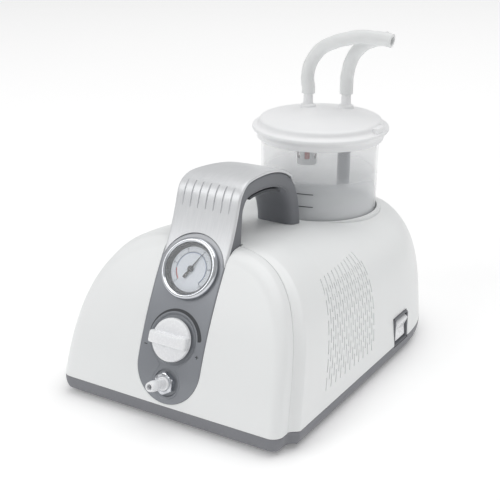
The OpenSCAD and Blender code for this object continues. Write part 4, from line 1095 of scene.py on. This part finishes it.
# --- Rocker -----------------------------------------------------------------------------------
# White rocker on a pin through the frame: a rounded key, dished on both of its faces.
rocker_at = np.array([91.2, cy, cz])
key_y = np.concatenate([[-9.9, -9.8, -9.5], np.linspace(-9.0, 9.0, 25), [9.5, 9.8, 9.9]])
fade = np.concatenate([[0.0, 0.93, 0.98], np.ones(25), [0.98, 0.93, 0.0]])
press = np.radians(np.linspace(-180, 180, 144, endpoint=False))
swing = np.radians(8)
face_a = np.abs(press)
reach_r = np.minimum(9.9, 4.7 / np.maximum(np.cos(face_a), 0.05) * (1 + 0.42 * face_a**1.5))
reach_r = np.where(face_a > np.pi / 2, np.minimum(9.9, 4.0 / np.maximum(
    -np.cos(press), 0.05)), reach_r)
key = np.stack([fade[:, None] * (reach_r * np.cos(press))[None],
                np.repeat(key_y[:, None], 144, 1),
                fade[:, None] * (reach_r * np.sin(press))[None]], -1)
key_mesh = grid_mesh("key", key, around=True)
key_mesh = carve(key_mesh, prism(circle(1.5, steps=32), -11.8, 11.8), "UNION")
key_mesh.transform(Matrix.Rotation(swing, 4, "Y"))
key_mesh.transform(Matrix.Translation(Vector(rocker_at * 0.001)))
rocker = add("rocker", key_mesh, 35, knob_white)
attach(rocker, "rocker")
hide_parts("switch_rocker")

# --- Finishes of the fittings and the works inside ----------------------------------------------
# Zinc, brass, cast alloy, varnished laminations and windings, rubber, hoses and small mouldings,
# each with its own grain and scale.
def cast(name, low_c, high_c, rough, metal=0.0, scale=900.0, relief=0.2, **fixed):
    """Finish of two near colours in clouds and grain, with a bump of the same grain."""
    def recipe(s, place):
        grain, cloud = s.noise(place, scale), s.noise(place, 40.0, 2.0)
        return {"Base Color": (grain * 0.5 + cloud * 0.5).mix(rgb(*low_c), rgb(*high_c)),
                "Roughness": grain * 0.18 + rough}
    return finish(name, recipe, lambda s, place: s.noise(place, scale), relief, 0.00015,
                  **{"Metallic": metal, **fixed})


def laminated(name, low_c, high_c, axis, pitch):
    """Stacked sheets along an axis: dark lines this far apart under varnish."""
    def bands(s, place):
        return s.make("TexWave", {"wave_type": "BANDS", "bands_direction": axis},
                      {"Vector": place, "Scale": 0.314 / pitch * 1000, "Distortion": 0.0})
    def recipe(s, place):
        line = bands(s, place)
        tone = line * 0.7 + s.noise(place, 70.0) * 0.3
        return {"Base Color": tone.mix(rgb(*low_c), rgb(*high_c)), "Roughness": line * 0.15 + 0.35}
    return finish(name, recipe, bands, 0.4, 0.0002, Metallic=0.5)


def machined(name, low_c, high_c, rough, **fixed):
    """Turned metal: fine lines round each axis from a stretched noise, and a soft haze."""
    def lines(s, place):
        return s.noise(s.stretch(place, (8.0, 1.0, 1.0)), 260.0)
    def recipe(s, place):
        line = lines(s, place)
        return {"Base Color": line.mix(rgb(*low_c), rgb(*high_c)),
                "Roughness": line * 0.16 + rough}
    return finish(name, recipe, lines, 0.12, 0.0001, **{"Metallic": 1.0, **fixed})


finishes = {
    "white_shell": shell_white, "grey_base": base_grey, "panel_grey": panel_grey,
    "silver_skin": silver, "dark_frame": frame_grey, "knob_white": knob_white,
    "chrome_trim": chrome, "dial_print": dial_card, "clear_lens": clear, "jar_clear": jar_clear,
    "lid_white": lid_white, "silicone": silicone,
    "soft_grip": cast("soft_grip", (58, 60, 64), (76, 78, 82), 0.62, scale=1600.0, relief=0.35),
    "black_plastic": cast("black_moulding", (28, 29, 31), (42, 43, 46), 0.42, scale=1300.0),
    "rubber_black": cast("rubber_black", (30, 30, 32), (46, 46, 48), 0.68, scale=700.0,
                         relief=0.35),
    "steel": machined("zinc_steel", (176, 179, 184), (206, 209, 213), 0.26),
    "brass_fitting": machined("brass", (176, 144, 84), (204, 172, 108), 0.24),
    "float_red": cast("float_red", (188, 74, 58), (206, 96, 78), 0.26, scale=300.0, relief=0.05),
    "laminations": laminated("laminations", (66, 67, 70), (112, 114, 118), "X", 0.6),
    "copper_coils": laminated("copper_winding", (120, 62, 30), (196, 112, 60), "Z", 0.8),
    "alloy": cast("cast_alloy", (150, 152, 155), (184, 186, 188), 0.38, 0.85, 1100.0, 0.4),
    "piston_polymer": cast("polymer_natural", (206, 202, 188), (224, 220, 208), 0.4, scale=500.0),
    "hose_clear": cast("hose_clear", (214, 217, 218), (230, 232, 233), 0.32, scale=200.0,
                       relief=0.06, Alpha=0.8),
}
dip_clear = cast("dip_tube_clear", (150, 154, 160), (176, 180, 186), 0.2, scale=120.0, relief=0.05,
                 Alpha=0.62)
for part in frame["record"]["subparts"]:
    if part["node"] in frame["nodes"] and part["node"] != "dial_ring":
        frame["nodes"][part["node"]].data.materials[0] = finishes[part["material_slot"]]
frame["nodes"]["dip_tube"].data.materials[0] = dip_clear

# --- Floor, light and the file's end ------------------------------------------------------------
# A pale floor under broad soft lights, as in a small studio.
floor_mesh = bpy.data.meshes.new("floor")
floor_mesh.from_pydata([(-6, -6, 0), (6, -6, 0), (6, 6, 0), (-6, 6, 0)], [], [(0, 1, 2, 3)])
floor = bpy.data.objects.new("floor", floor_mesh)
bpy.context.scene.collection.objects.link(floor)
floor_paper = finish("floor_paper", lambda s, place: {
    "Base Color": s.noise(place, 3.0).mix(rgb(250, 250, 250), rgb(252, 252, 252)),
    "Roughness": s.noise(place, 40.0) * 0.1 + 0.8},
    **{"Emission Color": (1, 1, 1, 1), "Emission Strength": 0.13})
floor.data.materials.append(floor_paper)

world = bpy.data.worlds.new("studio")
world.use_nodes = True
sky = Shade(world.node_tree)
height_up = sky.make("SeparateXYZ", {}, {"Vector": sky.make("TexCoord", out="Generated")}, out=2)
tint = height_up.clamp(0.0, 0.45).mix((0.84, 0.845, 0.85, 1), (1, 1, 1, 1))
world.node_tree.links.new(tint.socket, world.node_tree.nodes["Background"].inputs["Color"])
world.node_tree.nodes["Background"].inputs["Strength"].default_value = 0.47
bpy.context.scene.world = world
bpy.context.scene.view_settings.view_transform = "Standard"
for name, at, power, size in (("key", (-1.0, -1.5, 1.4), 9.6, 1.2),
                              ("top", (0.3, 0.7, 3.2), 58, 3.4)):
    lamp = bpy.data.lights.new(name, "AREA")
    lamp.energy, lamp.size = power, size
    light = bpy.data.objects.new(name, lamp)
    bpy.context.scene.collection.objects.link(light)
    light.location = at
    light.rotation_euler = (Vector((0, 0, 0.08)) - Vector(at)).to_track_quat("-Z", "Y").to_euler()
